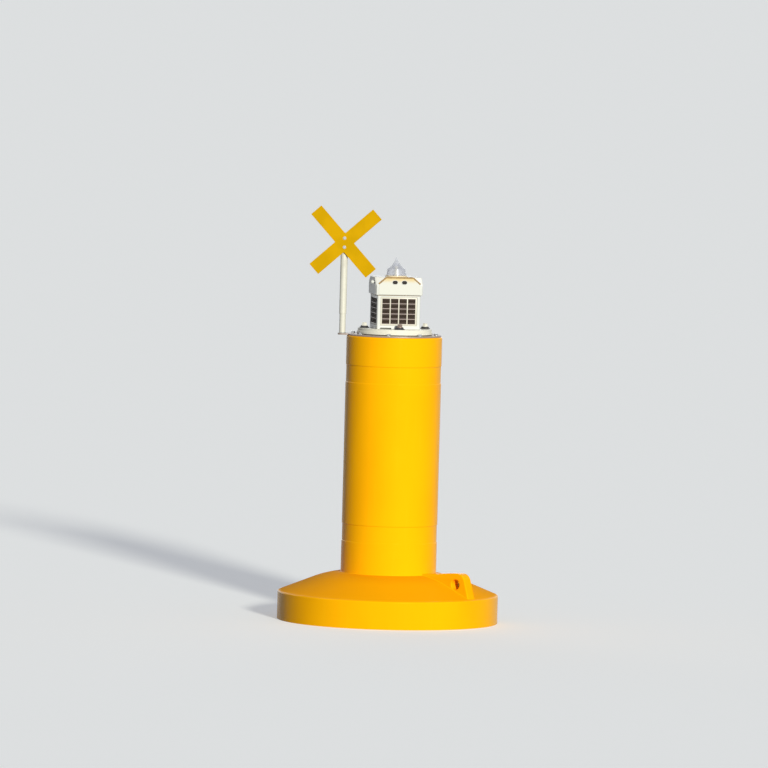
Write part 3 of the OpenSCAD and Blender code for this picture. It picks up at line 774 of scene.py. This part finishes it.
bodySizes = {
    "width": 0.296, "edgeRounding": 0.010, "edge": 0.002, "recessDepth": 0.006, "recessRounding": 0.006,
    "slotWidth": 0.077, "slotHeight": 0.009, "slotDepth": 0.020, "slotRounding": 0.003, "bevel": 0.0012,
}
panelSizes = {
    "width": 0.25, "height": 0.192, "thickness": 0.004, "middle": 0.121, "sink": 0.002, "gap": 0.001,
    "rounding": 0.005, "edge": 0.0008, "columns": 4, "rows": 5, "columnPitch": 0.0586, "rowPitch": 0.0345,
    "columnGap": 0.0074, "rowGap": 0.005, "cellThickness": 0.0012, "cellRise": 0.0002, "busbarWidth": 0.0007,
}
bodyLow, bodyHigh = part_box("lantern_body")


def box(width, height, rounding):
    w, h = width / 2, height / 2
    return rounded([(w, h, rounding), (-w, h, rounding), (-w, -h, rounding), (w, -h, rounding)])


def onSide(side, out, up, along=0.0):  # a flat frame on one side of the lantern, facing outwards
    return spun(lanternTurn + math.pi / 2 * side) @ moved(along, -out, bodyLow.z + up) @ upright


def lanternBody():
    b, p = bodySizes, panelSizes
    height, half = bodyHigh.z - bodyLow.z, b["width"] / 2
    wide, tall = p["width"] + 2 * p["gap"], p["height"] + 2 * p["gap"]
    shell = slab("body", [(box(b["width"], b["width"], b["edgeRounding"]), b["edge"])], height,
                 "lantern", spun(lanternTurn) @ moved(0, 0, bodyLow.z + height / 2))
    tools = [slab("recess", [(box(wide, tall, b["recessRounding"]), 0)], 2 * b["recessDepth"], "lantern",
                  onSide(k, half, p["middle"])) for k in range(4)]
    slotPlace = onSide(0, half, 0, (b["slotWidth"] - wide) / 2)
    slot = box(b["slotWidth"], 2 * b["slotHeight"], b["slotRounding"])
    tools.append(slab("slot", [(slot, 0)], 2 * b["slotDepth"], "lantern", slotPlace))
    boolean(shell, "DIFFERENCE", tools)
    modified(shell, "BEVEL", width=b["bevel"], segments=2, limit_method="ANGLE", angle_limit=math.radians(60),
             miter_outer="MITER_ARC")
    shell.data.materials.clear()
    for finish in ("lantern", "shade"):
        shell.data.materials.append(finishes[finish])
    back = slotPlace.inverted()
    for face in shell.data.polygons:  # the inside of the slot gets the dark slot finish: painted shade
        x, y, out = back @ face.center
        within = abs(x) < b["slotWidth"] / 2 + 0.0005 and 0.001 < y < b["slotHeight"] + 0.0005
        face.material_index = int(within and out < -0.0015)
    return shell


def makeCellShape():
    p = panelSizes
    s = Shape("cellShape", {
        "Columns": p["columns"], "Rows": p["rows"], "Column Pitch": p["columnPitch"], "Row Pitch": p["rowPitch"],
        "Cell Width": p["columnPitch"] - p["columnGap"], "Cell Height": p["rowPitch"] - p["rowGap"],
        "Thickness": p["cellThickness"], "Busbar Width": p["busbarWidth"], "Cell Finish": finishes["cell"],
        "Busbar Finish": finishes["busbar"], "Tape Finish": finishes["tape"],
    })

    def block(width, height, thickness, material):
        size = s.node("ShaderNodeCombineXYZ", sockets={"X": width, "Y": height, "Z": thickness})
        made = s.node("GeometryNodeMeshCube", sockets={"Size": size})
        return s.node("GeometryNodeSetMaterial", sockets={"Geometry": made, "Material": material})

    def lifted(geometry, y):
        offset = s.node("ShaderNodeCombineXYZ", sockets={"Y": y})
        return s.node("GeometryNodeTransform", sockets={"Geometry": geometry, "Translation": offset})

    width, height, thick = s.given("Cell Width"), s.given("Cell Height"), s.given("Thickness")
    bar = block(width, s.given("Busbar Width"), thick * 1.3, s.given("Busbar Finish"))
    unit = s.node("GeometryNodeJoinGeometry", sockets={"Geometry": [
        block(width, s.given("Row Pitch"), thick * 0.6, s.given("Tape Finish")),
        block(width, height, thick, s.given("Cell Finish")),
        lifted(bar, height * 0.22),
        lifted(bar, height * -0.22),
    ]})
    grid = s.node("GeometryNodeMeshGrid", sockets={
        "Size X": (s.given("Columns") - 1) * s.given("Column Pitch"),
        "Size Y": (s.given("Rows") - 1) * s.given("Row Pitch"),
        "Vertices X": s.given("Columns"), "Vertices Y": s.given("Rows"),
    })
    return s.end(s.node("GeometryNodeInstanceOnPoints", sockets={"Points": grid, "Instance": unit}))


cellShape = makeCellShape()


def solarPanel(side):
    p = panelSizes
    face = bodySizes["width"] / 2 - p["sink"]
    backing = slab("panel", [(box(p["width"], p["height"], p["rounding"]), p["edge"])], p["thickness"], "backing",
                   onSide(side, face - p["thickness"] / 2, p["middle"]), 2)
    cells = cellShape.grown("cells", bpy.data.meshes.new("cells"), {})
    for layer in list(cells.data.uv_layers):
        cells.data.uv_layers.remove(layer)
    uv = cells.data.uv_layers.new(name="panel")
    for loop in cells.data.loops:
        uv.data[loop.index].uv = cells.data.vertices[loop.vertex_index].co.xy
    cells.data.transform(onSide(side, face + p["cellRise"], p["middle"]))
    return [backing, cells]


piece("lanternBody", [lanternBody()], "lantern_white", "lantern_body", angle=40)
for side, word in enumerate(("front", "right", "back", "left")):
    piece("solarPanel_" + word, solarPanel(side), "solar_cells", "solar_panel_" + word, weighted=False)
print("lantern body made")


# Lantern head

headSizes = {
    "width": 0.318, "facetRun": 0.066, "facetDrop": 0.060, "edgeRounding": 0.008, "edge": 0.004,
    "reliefDepth": 0.003, "reliefRoot": 0.006, "reliefInset": 0.017, "reliefFoot": 0.004, "reliefTop": 0.002,
    "reliefRounding": 0.003, "reliefEdge": 0.0015, "portPitch": 0.064, "portWidth": 0.036, "portHeight": 0.025,
    "portDepth": 0.014, "portZ": 0.087, "plugThickness": 0.004, "plugGap": 0.0004, "plugEdge": 0.0012,
    "rimGap": 0.0008, "reliefShadeSink": 0.0026, "headShadeGrow": 0.001, "headShadeDrop": 0.0015, "glowDepth": 0.044,
    "glowTop": 0.006,
}
rimSizes = {"Radius": 0.0018, "Pitch": 0.003, "Wobble": 0.0}
reliefShadeSizes = {"Radius": 0.0056, "Pitch": 0.006, "Wobble": 0.12, "Seed": 20}
headShadeSizes = {"Radius": 0.0022, "Pitch": 0.006, "Wobble": 0.05, "Seed": 30}
knobSizes = {
    "radius": 0.013, "stem": 0.013, "offset": 0.088, "drop": 0.035,
    "profile": [(0, -0.002), (0.01196, -0.002), (0.01196, 0.003, 0.001), (0.0078, 0.0045, 0.001),
                (0.0078, 0.0078, 0.001), (0.013, 0.0078, 0.002)],
}
headLow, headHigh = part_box("lantern_head")
headFoot = headLow.z - bodyLow.z
headHeight = headHigh.z - headLow.z
headFace = headSizes["width"] / 2 + headSizes["reliefDepth"]
glowBand = [headHigh.z - headSizes[word] for word in ("glowDepth", "glowTop")]
finishes["glowHead"] = agedWhite("agedWhite", "d0d0c8", "d2b56c", *glowBand, 83.0)


def headBlock():
    h = headSizes
    half = h["width"] / 2
    bm = bmesh.new()
    bmesh.ops.create_cube(bm, size=1, matrix=moved(0, 0, headHeight / 2)
                          @ Matrix.Diagonal((h["width"], h["width"], headHeight, 1)))
    for x in (-1, 1):
        for y in (-1, 1):  # cuts a facet off each upper corner
            onTop = Vector((x * half, y * (half - h["facetRun"]), headHeight))
            alongTop = Vector((x * (half - h["facetRun"]), y * half, headHeight))
            low = Vector((x * half, y * half, headHeight - h["facetDrop"]))
            normal = (onTop - low).cross(alongTop - low).normalized()
            if normal.z < 0:
                normal = -normal
            geometry = bm.verts[:] + bm.edges[:] + bm.faces[:]
            cutLine = bmesh.ops.bisect_plane(bm, geom=geometry, plane_co=low, plane_no=normal, clear_outer=True)
            edges = [e for e in cutLine["geom_cut"] if isinstance(e, bmesh.types.BMEdge)]
            bmesh.ops.holes_fill(bm, edges=edges)
    weight = bm.edges.layers.float.new("bevel_weight_edge")
    for e in bm.edges:  # the upright edges are rounder than the others
        run = e.verts[0].co - e.verts[1].co
        e[weight] = 1.0 if abs(run.z) > 0.04 and abs(run.x) < 0.001 else h["edge"] / h["edgeRounding"]
    block = solid("head", bm, "lantern", spun(lanternTurn) @ moved(0, 0, headLow.z))
    modified(block, "BEVEL", limit_method="WEIGHT", width=h["edgeRounding"], segments=4)
    block.data.materials.append(finishes["facet"])
    for face in block.data.polygons:  # the upward corner facets get a whiter finish than the sides: a painted highlight
        face.material_index = int(0.3 < face.normal.z < 0.8)
    return block


def reliefOutline():  # the upper edge of a raised panel, from left to right
    h = headSizes
    half = h["width"] / 2
    side, top, crest = half - h["reliefInset"], half - h["facetRun"], headHeight - h["reliefTop"]
    shoulder = headHeight - h["facetDrop"] * (1 - h["reliefInset"] / h["facetRun"])
    return [(-side, shoulder), (-top, crest), (top, crest), (side, shoulder)]


def headRelief(side):
    h = headSizes
    upper = reliefOutline()[::-1]
    foot = [(upper[-1][0], h["reliefFoot"]), (upper[0][0], h["reliefFoot"])]
    corners = [(x, z, h["reliefRounding"]) for x, z in foot + upper]
    depth = h["reliefDepth"] + h["reliefRoot"]
    # the front relief gets the painted yellowish glow near its top
    return slab("relief", [(rounded(corners, 4), h["reliefEdge"])], depth, "lantern" if side else "glowHead",
                onSide(side, headFace - depth / 2, headFoot))


def portOutline(grow=0.0):
    h = headSizes
    right = arc(h["portHeight"] / 2 + grow, -math.pi / 2, math.pi / 2, 12, (h["portWidth"] - h["portHeight"]) / 2)
    return right + [-p for p in right]


def portPlaces(sink=0.0):
    h = headSizes
    return [onSide(0, headFace - sink, headFoot + h["portZ"], x * h["portPitch"] / 2) for x in (-1, 1)]


def lanternHead():
    block = boolean(headBlock(), "UNION", [headRelief(k) for k in range(4)])
    cutters = [slab("port", [(portOutline(), 0)], 2 * headSizes["portDepth"], "lantern", m) for m in portPlaces()]
    boolean(block, "DIFFERENCE", cutters)
    rim = portOutline(headSizes["rimGap"])
    return [block] + [bead("portRim", rim, m, {**rimSizes, "Seed": k}, "lantern")
                      for k, m in enumerate(portPlaces())]


def portPlugs():
    h = headSizes
    outline = [(portOutline(-h["plugGap"]), h["plugEdge"])]
    return [slab("plug", outline, h["plugThickness"], "port", m, 3)
            for m in portPlaces(h["portDepth"] - h["plugThickness"] / 2)]


def sideKnob():
    k = knobSizes
    profile = k["profile"] + arc(k["radius"], 0, math.pi / 2, 10, 0, k["stem"])
    return turned("knob", profile, "lantern", steps=48,
                  place=onSide(3, headFace, headFoot + headHeight - k["drop"], k["offset"]))


reliefShadePlace = onSide(0, headFace - headSizes["reliefShadeSink"], headFoot)
headShadeWidth = bodySizes["width"] + headSizes["headShadeGrow"]
headShadeLine = box(headShadeWidth, headShadeWidth, bodySizes["edgeRounding"])
headShadePlace = spun(lanternTurn) @ moved(0, 0, headLow.z - headSizes["headShadeDrop"])
piece("lanternHead", lanternHead(), "lantern_white", "lantern_head")
# a bead along the front relief's upper edge, tan as painted shade of the relief's flank
piece("reliefShadeBead", [bead("reliefShadeBead", reliefOutline(), reliefShadePlace, reliefShadeSizes, closed=False)], "collar_cream",
      weighted=False)
# a bead round the joint under the head, tan as painted shade of the head's overhang
piece("headShadeBead", [bead("headShadeBead", headShadeLine, headShadePlace, headShadeSizes)], "collar_cream", weighted=False)
# the plugs' near-black finish is painted shade inside the port holes
piece("portPlugs", portPlugs(), "port_dark", "port_plugs")
piece("sideKnob", [sideKnob()], "lantern_white", "side_knob")
print("lantern head made")


# Lens, collar and light source

collarSizes = {"footRounding": 0.001, "sideDrop": 0.001, "sideRounding": 0.0025, "topInset": 0.007,
               "topRounding": 0.002}
lensSizes = {
    "footRadius": 0.069, "radius": 0.061, "wallHeight": 0.046, "shoulderRounding": 0.006, "sweepRadius": 0.120,
    "tipRadius": 0.0015, "tipDrop": 0.0008, "tipEase": 0.0001, "wall": 0.004, "spike": 0.020, "outerSteps": 22,
    "innerSteps": 18, "tiers": 5, "tierDepth": 0.0006, "tierStart": 0.06, "tierSpan": 0.9, "tierShare": 0.85,
}
coreSizes = {
    "tiers": 5, "perTier": 8, "chipRadius": 0.0100, "lowTier": 0.012, "highTier": 0.054,
    "profile": [(0, 0), (0.020, 0), (0.020, 0.004, 0.001), (0.011, 0.006, 0.001), (0.011, 0.059, 0.001),
                (0.012, 0.059), (0.012, 0.062, 0.0008), (0, 0.062)],
}
chipSizes = {"Flats": 0.0028, "Head Height": 0.001, "Washer Width": 0.005, "Washer Thickness": 0.0008,
             "Stud Width": 0.0016, "Stud Reach": 0.0004, "Seed": 7}
collarLow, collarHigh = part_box("lens_collar")
lensLow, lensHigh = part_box("lens")
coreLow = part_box("light_source")[0]


def lensCollar():
    c = collarSizes
    r, low, high = collarHigh.x, collarLow.z, collarHigh.z
    return turned("collar", [
        (0, low), (r, low, c["footRounding"]), (r, high - c["sideDrop"], c["sideRounding"]),
        (r - c["topInset"], high, c["topRounding"]), (0, high)], "collar", 5, 96)


def sweep(start, end, radius, steps):  # a hollow arc from start to end
    start, end = Vector(start), Vector(end)
    d = end - start
    rise = math.sqrt(radius ** 2 - d.length_squared / 4)
    centre = (start + end) / 2 + Vector((d.y, -d.x)).normalized() * rise
    a = math.atan2(start.y - centre.y, start.x - centre.x)
    b = math.atan2(end.y - centre.y, end.x - centre.x)
    turn = (b - a + math.pi) % (2 * math.pi) - math.pi
    return arc(radius, a, a + turn, steps, *centre)


def lens():
    z = lensSizes
    height = lensHigh.z - lensLow.z
    shoulder = (z["radius"], z["wallHeight"])
    outer = sweep(shoulder, (z["tipRadius"], height - z["tipDrop"]), z["sweepRadius"], z["outerSteps"])
    tip = [(z["tipRadius"] * 0.6, height - z["tipEase"]), (0, height)]
    foot = Vector((z["footRadius"] - z["wall"], 0))
    ceiling = Vector(shoulder) - Vector((z["wall"], z["wall"]))
    inner = sweep(ceiling, (0, height - z["spike"]), z["sweepRadius"], z["innerSteps"])
    tiers = []
    for k in range(z["tiers"]):  # prism rings on the inside of the wall
        low, high = (foot.lerp(ceiling, z["tierStart"] + z["tierSpan"] * (k + part) / z["tiers"])
                     for part in (0, z["tierShare"]))
        tiers += [low, (high.x - z["tierDepth"], high.y)]
    profile = [(z["footRadius"], 0), (*shoulder, z["shoulderRounding"]), *outer[1:], *tip]
    profile += inner[::-1] + tiers[::-1] + [foot]
    return turned("lens", [(r, lensLow.z + h, *rounding) for r, h, *rounding in profile], "lens", 5, 96, True)


def lightSource():
    c, z = coreSizes, coreLow.z
    post = turned("post", [(r, z + h, *rounding) for r, h, *rounding in c["profile"]], "emitter", 3, 8)
    spots = []
    for tier in range(c["tiers"]):
        up = z + c["lowTier"] + (c["highTier"] - c["lowTier"]) * tier / (c["tiers"] - 1)
        for k in range(c["perTier"]):
            out = spun(2 * math.pi * (k + 0.5) / c["perTier"]) @ Vector((1, 0, 0))
            spots.append((out * c["chipRadius"] + Vector((0, 0, up)), out))
    return [post, fasteners("chips", spots, chipSizes, "emitter")]


piece("lensCollar", [lensCollar()], "collar_cream", "lens_collar")
piece("lens", [lens()], "lens_clear", "lens", angle=40)
piece("lightSource", lightSource(), "light_source", "light_source", angle=30, weighted=False)
print("lens made")


# Topmark

poleSizes = {
    "radius": 0.02415, "spigotRadius": 0.02125, "wall": 0.0026, "weldRise": 0.001, "clampRise": 0.035,
    "nutSink": 0.0006, "saddleFit": 0.0002, "saddleEdge": 0.0008, "saddleSteps": 16, "saddleHorn": 0.001,
}
crossSizes = {
    "length": 0.568, "shift": 0.010, "width": 0.091, "turn": math.radians(3), "cornerRounding": 0.004,
    "notchRounding": 0.006, "edge": 0.0012, "boltGap": 0.062,
}
spigotWeldSizes = {"Radius": 0.004, "Pitch": 0.0035, "Wobble": 0.18, "Seed": 40}
crossBoltSizes = {"Flats": 0.016, "Head Height": 0.007, "Washer Width": 0.023, "Washer Thickness": 0.0018,
                  "Stud Width": 0.01, "Seed": 9}
crossNutSizes = {**crossBoltSizes, "Stud Reach": 0.006, "Seed": 10}
clampSizes = {**crossBoltSizes, "Flats": 0.013, "Washer Width": 0.018, "Stud Width": 0.008, "Seed": 11}
poleLow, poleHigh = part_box("topmark_pole")
spigotLow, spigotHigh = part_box("topmark_spigot")
crossLow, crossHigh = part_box("topmark_cross")
saddleLow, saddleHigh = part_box("topmark_saddle")
poleX = (poleLow.x + poleHigh.x) / 2
crossZ = (saddleLow.z + saddleHigh.z) / 2
polePlace = moved(poleX, 0, 0)


def tube(name, radius, wall, low, high, finish, steps=64, place=Matrix()):
    inner, edge = radius - wall, wall * 0.35
    corners = [(inner, low, edge), (radius, low, edge), (radius, high, edge), (inner, high, edge)]
    return turned(name, corners, finish, 3, steps, True, place)


def topmarkSpigot():
    p = poleSizes
    weldLine = circle(p["spigotRadius"], 48)
    return [tube("spigot", p["spigotRadius"], p["wall"], spigotLow.z, spigotHigh.z, "pole", place=polePlace),
            bead("spigotWeld", weldLine, moved(poleX, 0, spigotLow.z + p["weldRise"]), spigotWeldSizes, "zinc")]


def saddle():
    p = poleSizes
    half = (saddleHigh.x - saddleLow.x) / 2
    depth = saddleHigh.y - saddleLow.y
    seat = p["radius"] + p["saddleFit"]
    middle = -saddleLow.y  # the pole's axis, from the saddle's face
    reach = math.acos((middle - depth) / seat)
    hollow = arc(seat, reach - math.pi / 2, -reach - math.pi / 2, p["saddleSteps"], 0, middle)
    hollow = [spot for spot in hollow if abs(spot.x) < half - p["saddleHorn"]]
    corners = [(-half, 0), (half, 0), (half, depth), *hollow, (-half, depth)]
    return slab("saddle", [(rounded(corners), p["saddleEdge"])], saddleHigh.z - saddleLow.z, "zinc",
                moved(poleX, saddleLow.y, crossZ), 2)


def crossPlate():
    c = crossSizes
    half = c["width"] / 2
    corners = []
    for k in range(4):
        a = math.pi / 4 + math.pi / 2 * k - c["turn"]
        along = Vector((math.cos(a), math.sin(a)))
        across = Vector((-along.y, along.x))
        end = along * (c["length"] / 2 + math.copysign(c["shift"], along.y))
        corners += [(*(end - across * half), c["cornerRounding"]), (*(end + across * half), c["cornerRounding"]),
                    (*((along + across) * half), c["notchRounding"])]
    place = moved(poleX, (crossLow.y + crossHigh.y) / 2, crossZ) @ upright
    return slab("cross", [(rounded(corners, 5), c["edge"])], crossHigh.y - crossLow.y, "mark", place, 3)


def atNut(z):  # on the back of the pole, facing backwards
    return (poleX, poleSizes["radius"] - poleSizes["nutSink"], z), (0, 1, 0)


def crossBolts():
    heights = [crossZ + crossSizes["boltGap"] * side for side in (-0.5, 0.5)]
    heads = [((poleX, crossLow.y, z), (0, -1, 0)) for z in heights]
    return [fasteners("crossBolts", heads, crossBoltSizes),
            fasteners("crossNuts", [atNut(z) for z in heights], crossNutSizes)]


pole = tube("pole", poleSizes["radius"], poleSizes["wall"], poleLow.z, poleHigh.z, "pole", place=polePlace)
piece("topmarkPole", [pole], "galvanised_steel", "topmark_pole")
piece("topmarkSpigot", topmarkSpigot(), "galvanised_steel", "topmark_spigot")
piece("topmarkSaddle", [saddle()], "galvanised_steel", "topmark_saddle")
piece("topmarkCross", [crossPlate()], "topmark_yellow", "topmark_cross")
piece("crossBolts", crossBolts(), "galvanised_steel", weighted=False)
clampSpot = atNut(poleLow.z + poleSizes["clampRise"])
piece("poleClampBolt", [fasteners("clamp", [clampSpot], clampSizes)], "galvanised_steel", weighted=False)
print("topmark made")


# Under water: keel plate, tail tube, gussets, ballast, flange and mooring eye

tailSizes = {
    "wall": 0.008, "plateEdge": 0.002, "gussets": 4, "gussetReach": 0.130, "gussetThickness": 0.010,
    "gussetToe": 0.020, "gussetRounding": 0.006, "gussetEdge": 0.0012, "gussetSink": 0.0005, "weldDrop": 0.001,
    "ballasts": 4, "ballastThickness": 0.045,
    "ballastGap": 0.0003, "ballastFit": 0.0008, "ballastRounding": 0.008, "boreRounding": 0.002,
    "eyeRadius": 0.075, "eyeHole": 0.030, "eyeEdge": 0.003, "eyeHoleEdge": 0.004,
    "keelBoltRadius": 0.250, "keelBolts": 8, "flangeBoltRadius": 0.135, "flangeBolts": 6,
}
keelBoltSizes = {"Flats": 0.030, "Head Height": 0.013, "Washer Width": 0.037, "Washer Thickness": 0.003,
                 "Stud Width": 0.02, "Stud Reach": 0.010, "Seed": 13}
flangeBoltSizes = {**keelBoltSizes, "Flats": 0.024, "Seed": 14}
tailWeldSizes = {"Radius": 0.006, "Pitch": 0.006, "Wobble": 0.2, "Seed": 41}
keelLow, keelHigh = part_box("keel_plate")
tailLow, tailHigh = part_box("tail_tube")
gussetLow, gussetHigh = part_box("keel_gussets")
ballastLow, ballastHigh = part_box("ballast_discs")
flangeLow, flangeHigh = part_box("tail_flange")
eyeLow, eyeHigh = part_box("mooring_eye")
tailRadius = tailHigh.x


def disc(name, low, high):  # a round plate that fills its node's box
    edge = tailSizes["plateEdge"]
    return turned(name, [(0, low.z), (high.x, low.z, edge), (high.x, high.z, edge), (0, high.z)], "zinc", steps=128)


def gusset(k):
    t = tailSizes
    reach, toe, height, bend = t["gussetReach"], t["gussetToe"], gussetHigh.z - gussetLow.z, t["gussetRounding"]
    outline = rounded([(0, 0), (0, -height), (toe, -height, bend), (reach, -toe, bend), (reach, 0)], 4)
    turn = spun(math.pi / 4 + 2 * math.pi * k / t["gussets"])
    place = turn @ moved(tailRadius - t["gussetSink"], 0, gussetHigh.z)
    return slab("gusset", [(outline, t["gussetEdge"])], t["gussetThickness"], "zinc", place @ upright, 2)


def ballastDisc(k):
    t = tailSizes
    low = ballastLow.z + k * (t["ballastThickness"] + t["ballastGap"])
    high, bore, outside = low + t["ballastThickness"], tailRadius + t["ballastFit"], ballastHigh.x
    return turned("ballast", [
        (bore, low, t["boreRounding"]), (outside, low, t["ballastRounding"]), (outside, high, t["ballastRounding"]),
        (bore, high, t["boreRounding"])], "iron", steps=128, closed=True)


def mooringEye():
    t = tailSizes
    r = t["eyeRadius"]
    middle = eyeLow.z + r
    head = flangeLow.z - middle
    outline = arc(r, -math.pi, 0, 32) + [Vector((r, head)), Vector((-r, head))]
    loops = [(outline, t["eyeEdge"]), (circle(t["eyeHole"], 48, way=-1), t["eyeHoleEdge"])]
    return slab("eye", loops, eyeHigh.y - eyeLow.y, "zinc", moved(0, 0, middle) @ upright)


def tailBolts():
    t, down = tailSizes, (0, 0, -1)
    keelSpots = ringSpots(t["keelBoltRadius"], t["keelBolts"], keelLow.z, down, math.pi / t["keelBolts"])
    flangeSpots = ringSpots(t["flangeBoltRadius"], t["flangeBolts"], flangeLow.z, down)
    return [fasteners("keelBolts", keelSpots, keelBoltSizes, "zinc"),
            fasteners("flangeBolts", flangeSpots, flangeBoltSizes, "zinc")]


def tailTube():
    t = tailSizes
    weldPlace = moved(0, 0, keelLow.z - t["weldDrop"])
    return [tube("tail", tailRadius, t["wall"], tailLow.z, tailHigh.z, "zinc", 96),
            bead("tailWeldTop", circle(tailRadius, 96), weldPlace, tailWeldSizes, "zinc")]


piece("keelPlate", [disc("keel", keelLow, keelHigh)], "galvanised_steel", "keel_plate")
piece("keelBolts", tailBolts(), "galvanised_steel", weighted=False)
piece("tailTube", tailTube(), "galvanised_steel", "tail_tube")
piece("keelGussets", [gusset(k) for k in range(tailSizes["gussets"])], "galvanised_steel", "keel_gussets")
piece("ballastDiscs", [ballastDisc(k) for k in range(tailSizes["ballasts"])], "ballast_iron", "ballast_discs")
piece("tailFlange", [disc("flange", flangeLow, flangeHigh)], "galvanised_steel", "tail_flange")
piece("mooringEye", [mooringEye()], "galvanised_steel", "mooring_eye")
print("tail made")


# Floor, light and camera

stageLook = {
    "floorSize": 6000, "floorColour": (0.68, 0.69, 0.69, 1), "bounceColour": (0.18, 0.19, 0.20, 1),
    "lift": 0.5, "ambient": (0.77, 0.84, 1.05, 1), "ambientStrength": 0.21, "backdrop": (0.80, 0.81, 0.82, 1),
}
lamps = {
    "keyLight": {"angle": 18.5, "height": 15, "softness": 6, "strength": 4.32, "colour": (1.0, 0.985, 0.88)},
    "backLight": {"angle": 190, "height": 4, "softness": 60, "strength": 0.9, "colour": (0.92, 0.96, 1.0)},
}
cameraSetup = {
    "place": Vector((0, -50, 4.4)), "target": Vector((-0.0625, 0, 1.6085)), "lens": 345.7,
    "roll": math.radians(1.5), "near": 1.0, "far": 9000,
}


def staged(name, data, place, turn):
    thing = added(name, data)
    thing.location = place
    thing.rotation_mode = "QUATERNION"
    thing.rotation_quaternion = turn
    return thing


def seenRays(graph):  # rays from the camera, straight or by way of gloss and glass
    path = graph.node("ShaderNodeLightPath")
    camera, glossy, through = (path.sibling(f"Is {kind} Ray") for kind in ("Camera", "Glossy", "Transmission"))
    return camera + glossy + through


def makeFloor():
    look = stageLook
    f = Finish("paleFloor")
    seen = seenRays(f)
    colour = f.mix(seen, look["bounceColour"], look["floorColour"])
    colour = f.mix(f.noise(0.8, 2, 99.0) * 0.02, colour, (0.8, 0.8, 0.8, 1))
    finishes["floor"] = f.principled(colour, 0.9, None, {
        "Specular IOR Level": 0.0, "Emission Color": f.mix(seen, (0, 0, 0, 1), look["floorColour"]),
        "Emission Strength": look["lift"]})
    bm = bmesh.new()
    bmesh.ops.create_grid(bm, x_segments=1, y_segments=1, size=look["floorSize"])
    solid("floor", bm, "floor")


def makeLight():
    for name, lamp in lamps.items():
        sun = bpy.data.lights.new(name, "SUN")
        sun.energy = lamp["strength"]
        sun.angle = math.radians(lamp["softness"])
        sun.color = lamp["colour"]
        a, e = math.radians(lamp["angle"]), math.radians(lamp["height"])
        towards = Vector((math.sin(a) * math.cos(e), -math.cos(a) * math.cos(e), math.sin(e)))
        staged(name, sun, towards * 10, towards.to_track_quat("Z", "Y"))
    look = stageLook
    world = bpy.data.worlds.new("studio")
    world.use_nodes = True
    world.node_tree.nodes.clear()
    g = Graph(world.node_tree)
    dim, pale = (g.node("ShaderNodeBackground", sockets={"Color": colour, "Strength": strength})
                 for colour, strength in ((look["ambient"], look["ambientStrength"]), (look["backdrop"], 1.0)))
    sky = g.node("ShaderNodeMixShader", sockets={0: seenRays(g), 1: dim, 2: pale})
    g.node("ShaderNodeOutputWorld", sockets={"Surface": sky})
    bpy.context.scene.world = world


def makeCamera():
    c = cameraSetup
    data = bpy.data.cameras.new("camera")
    data.lens = c["lens"]
    data.clip_start = c["near"]
    data.clip_end = c["far"]
    aim = (c["target"] - c["place"]).to_track_quat("-Z", "Y") @ Quaternion((0, 0, 1), c["roll"])
    bpy.context.scene.camera = staged("camera", data, c["place"], aim)


makeFloor()
makeLight()
makeCamera()
bpy.context.scene.view_settings.view_transform = "Standard"
print("stage made")
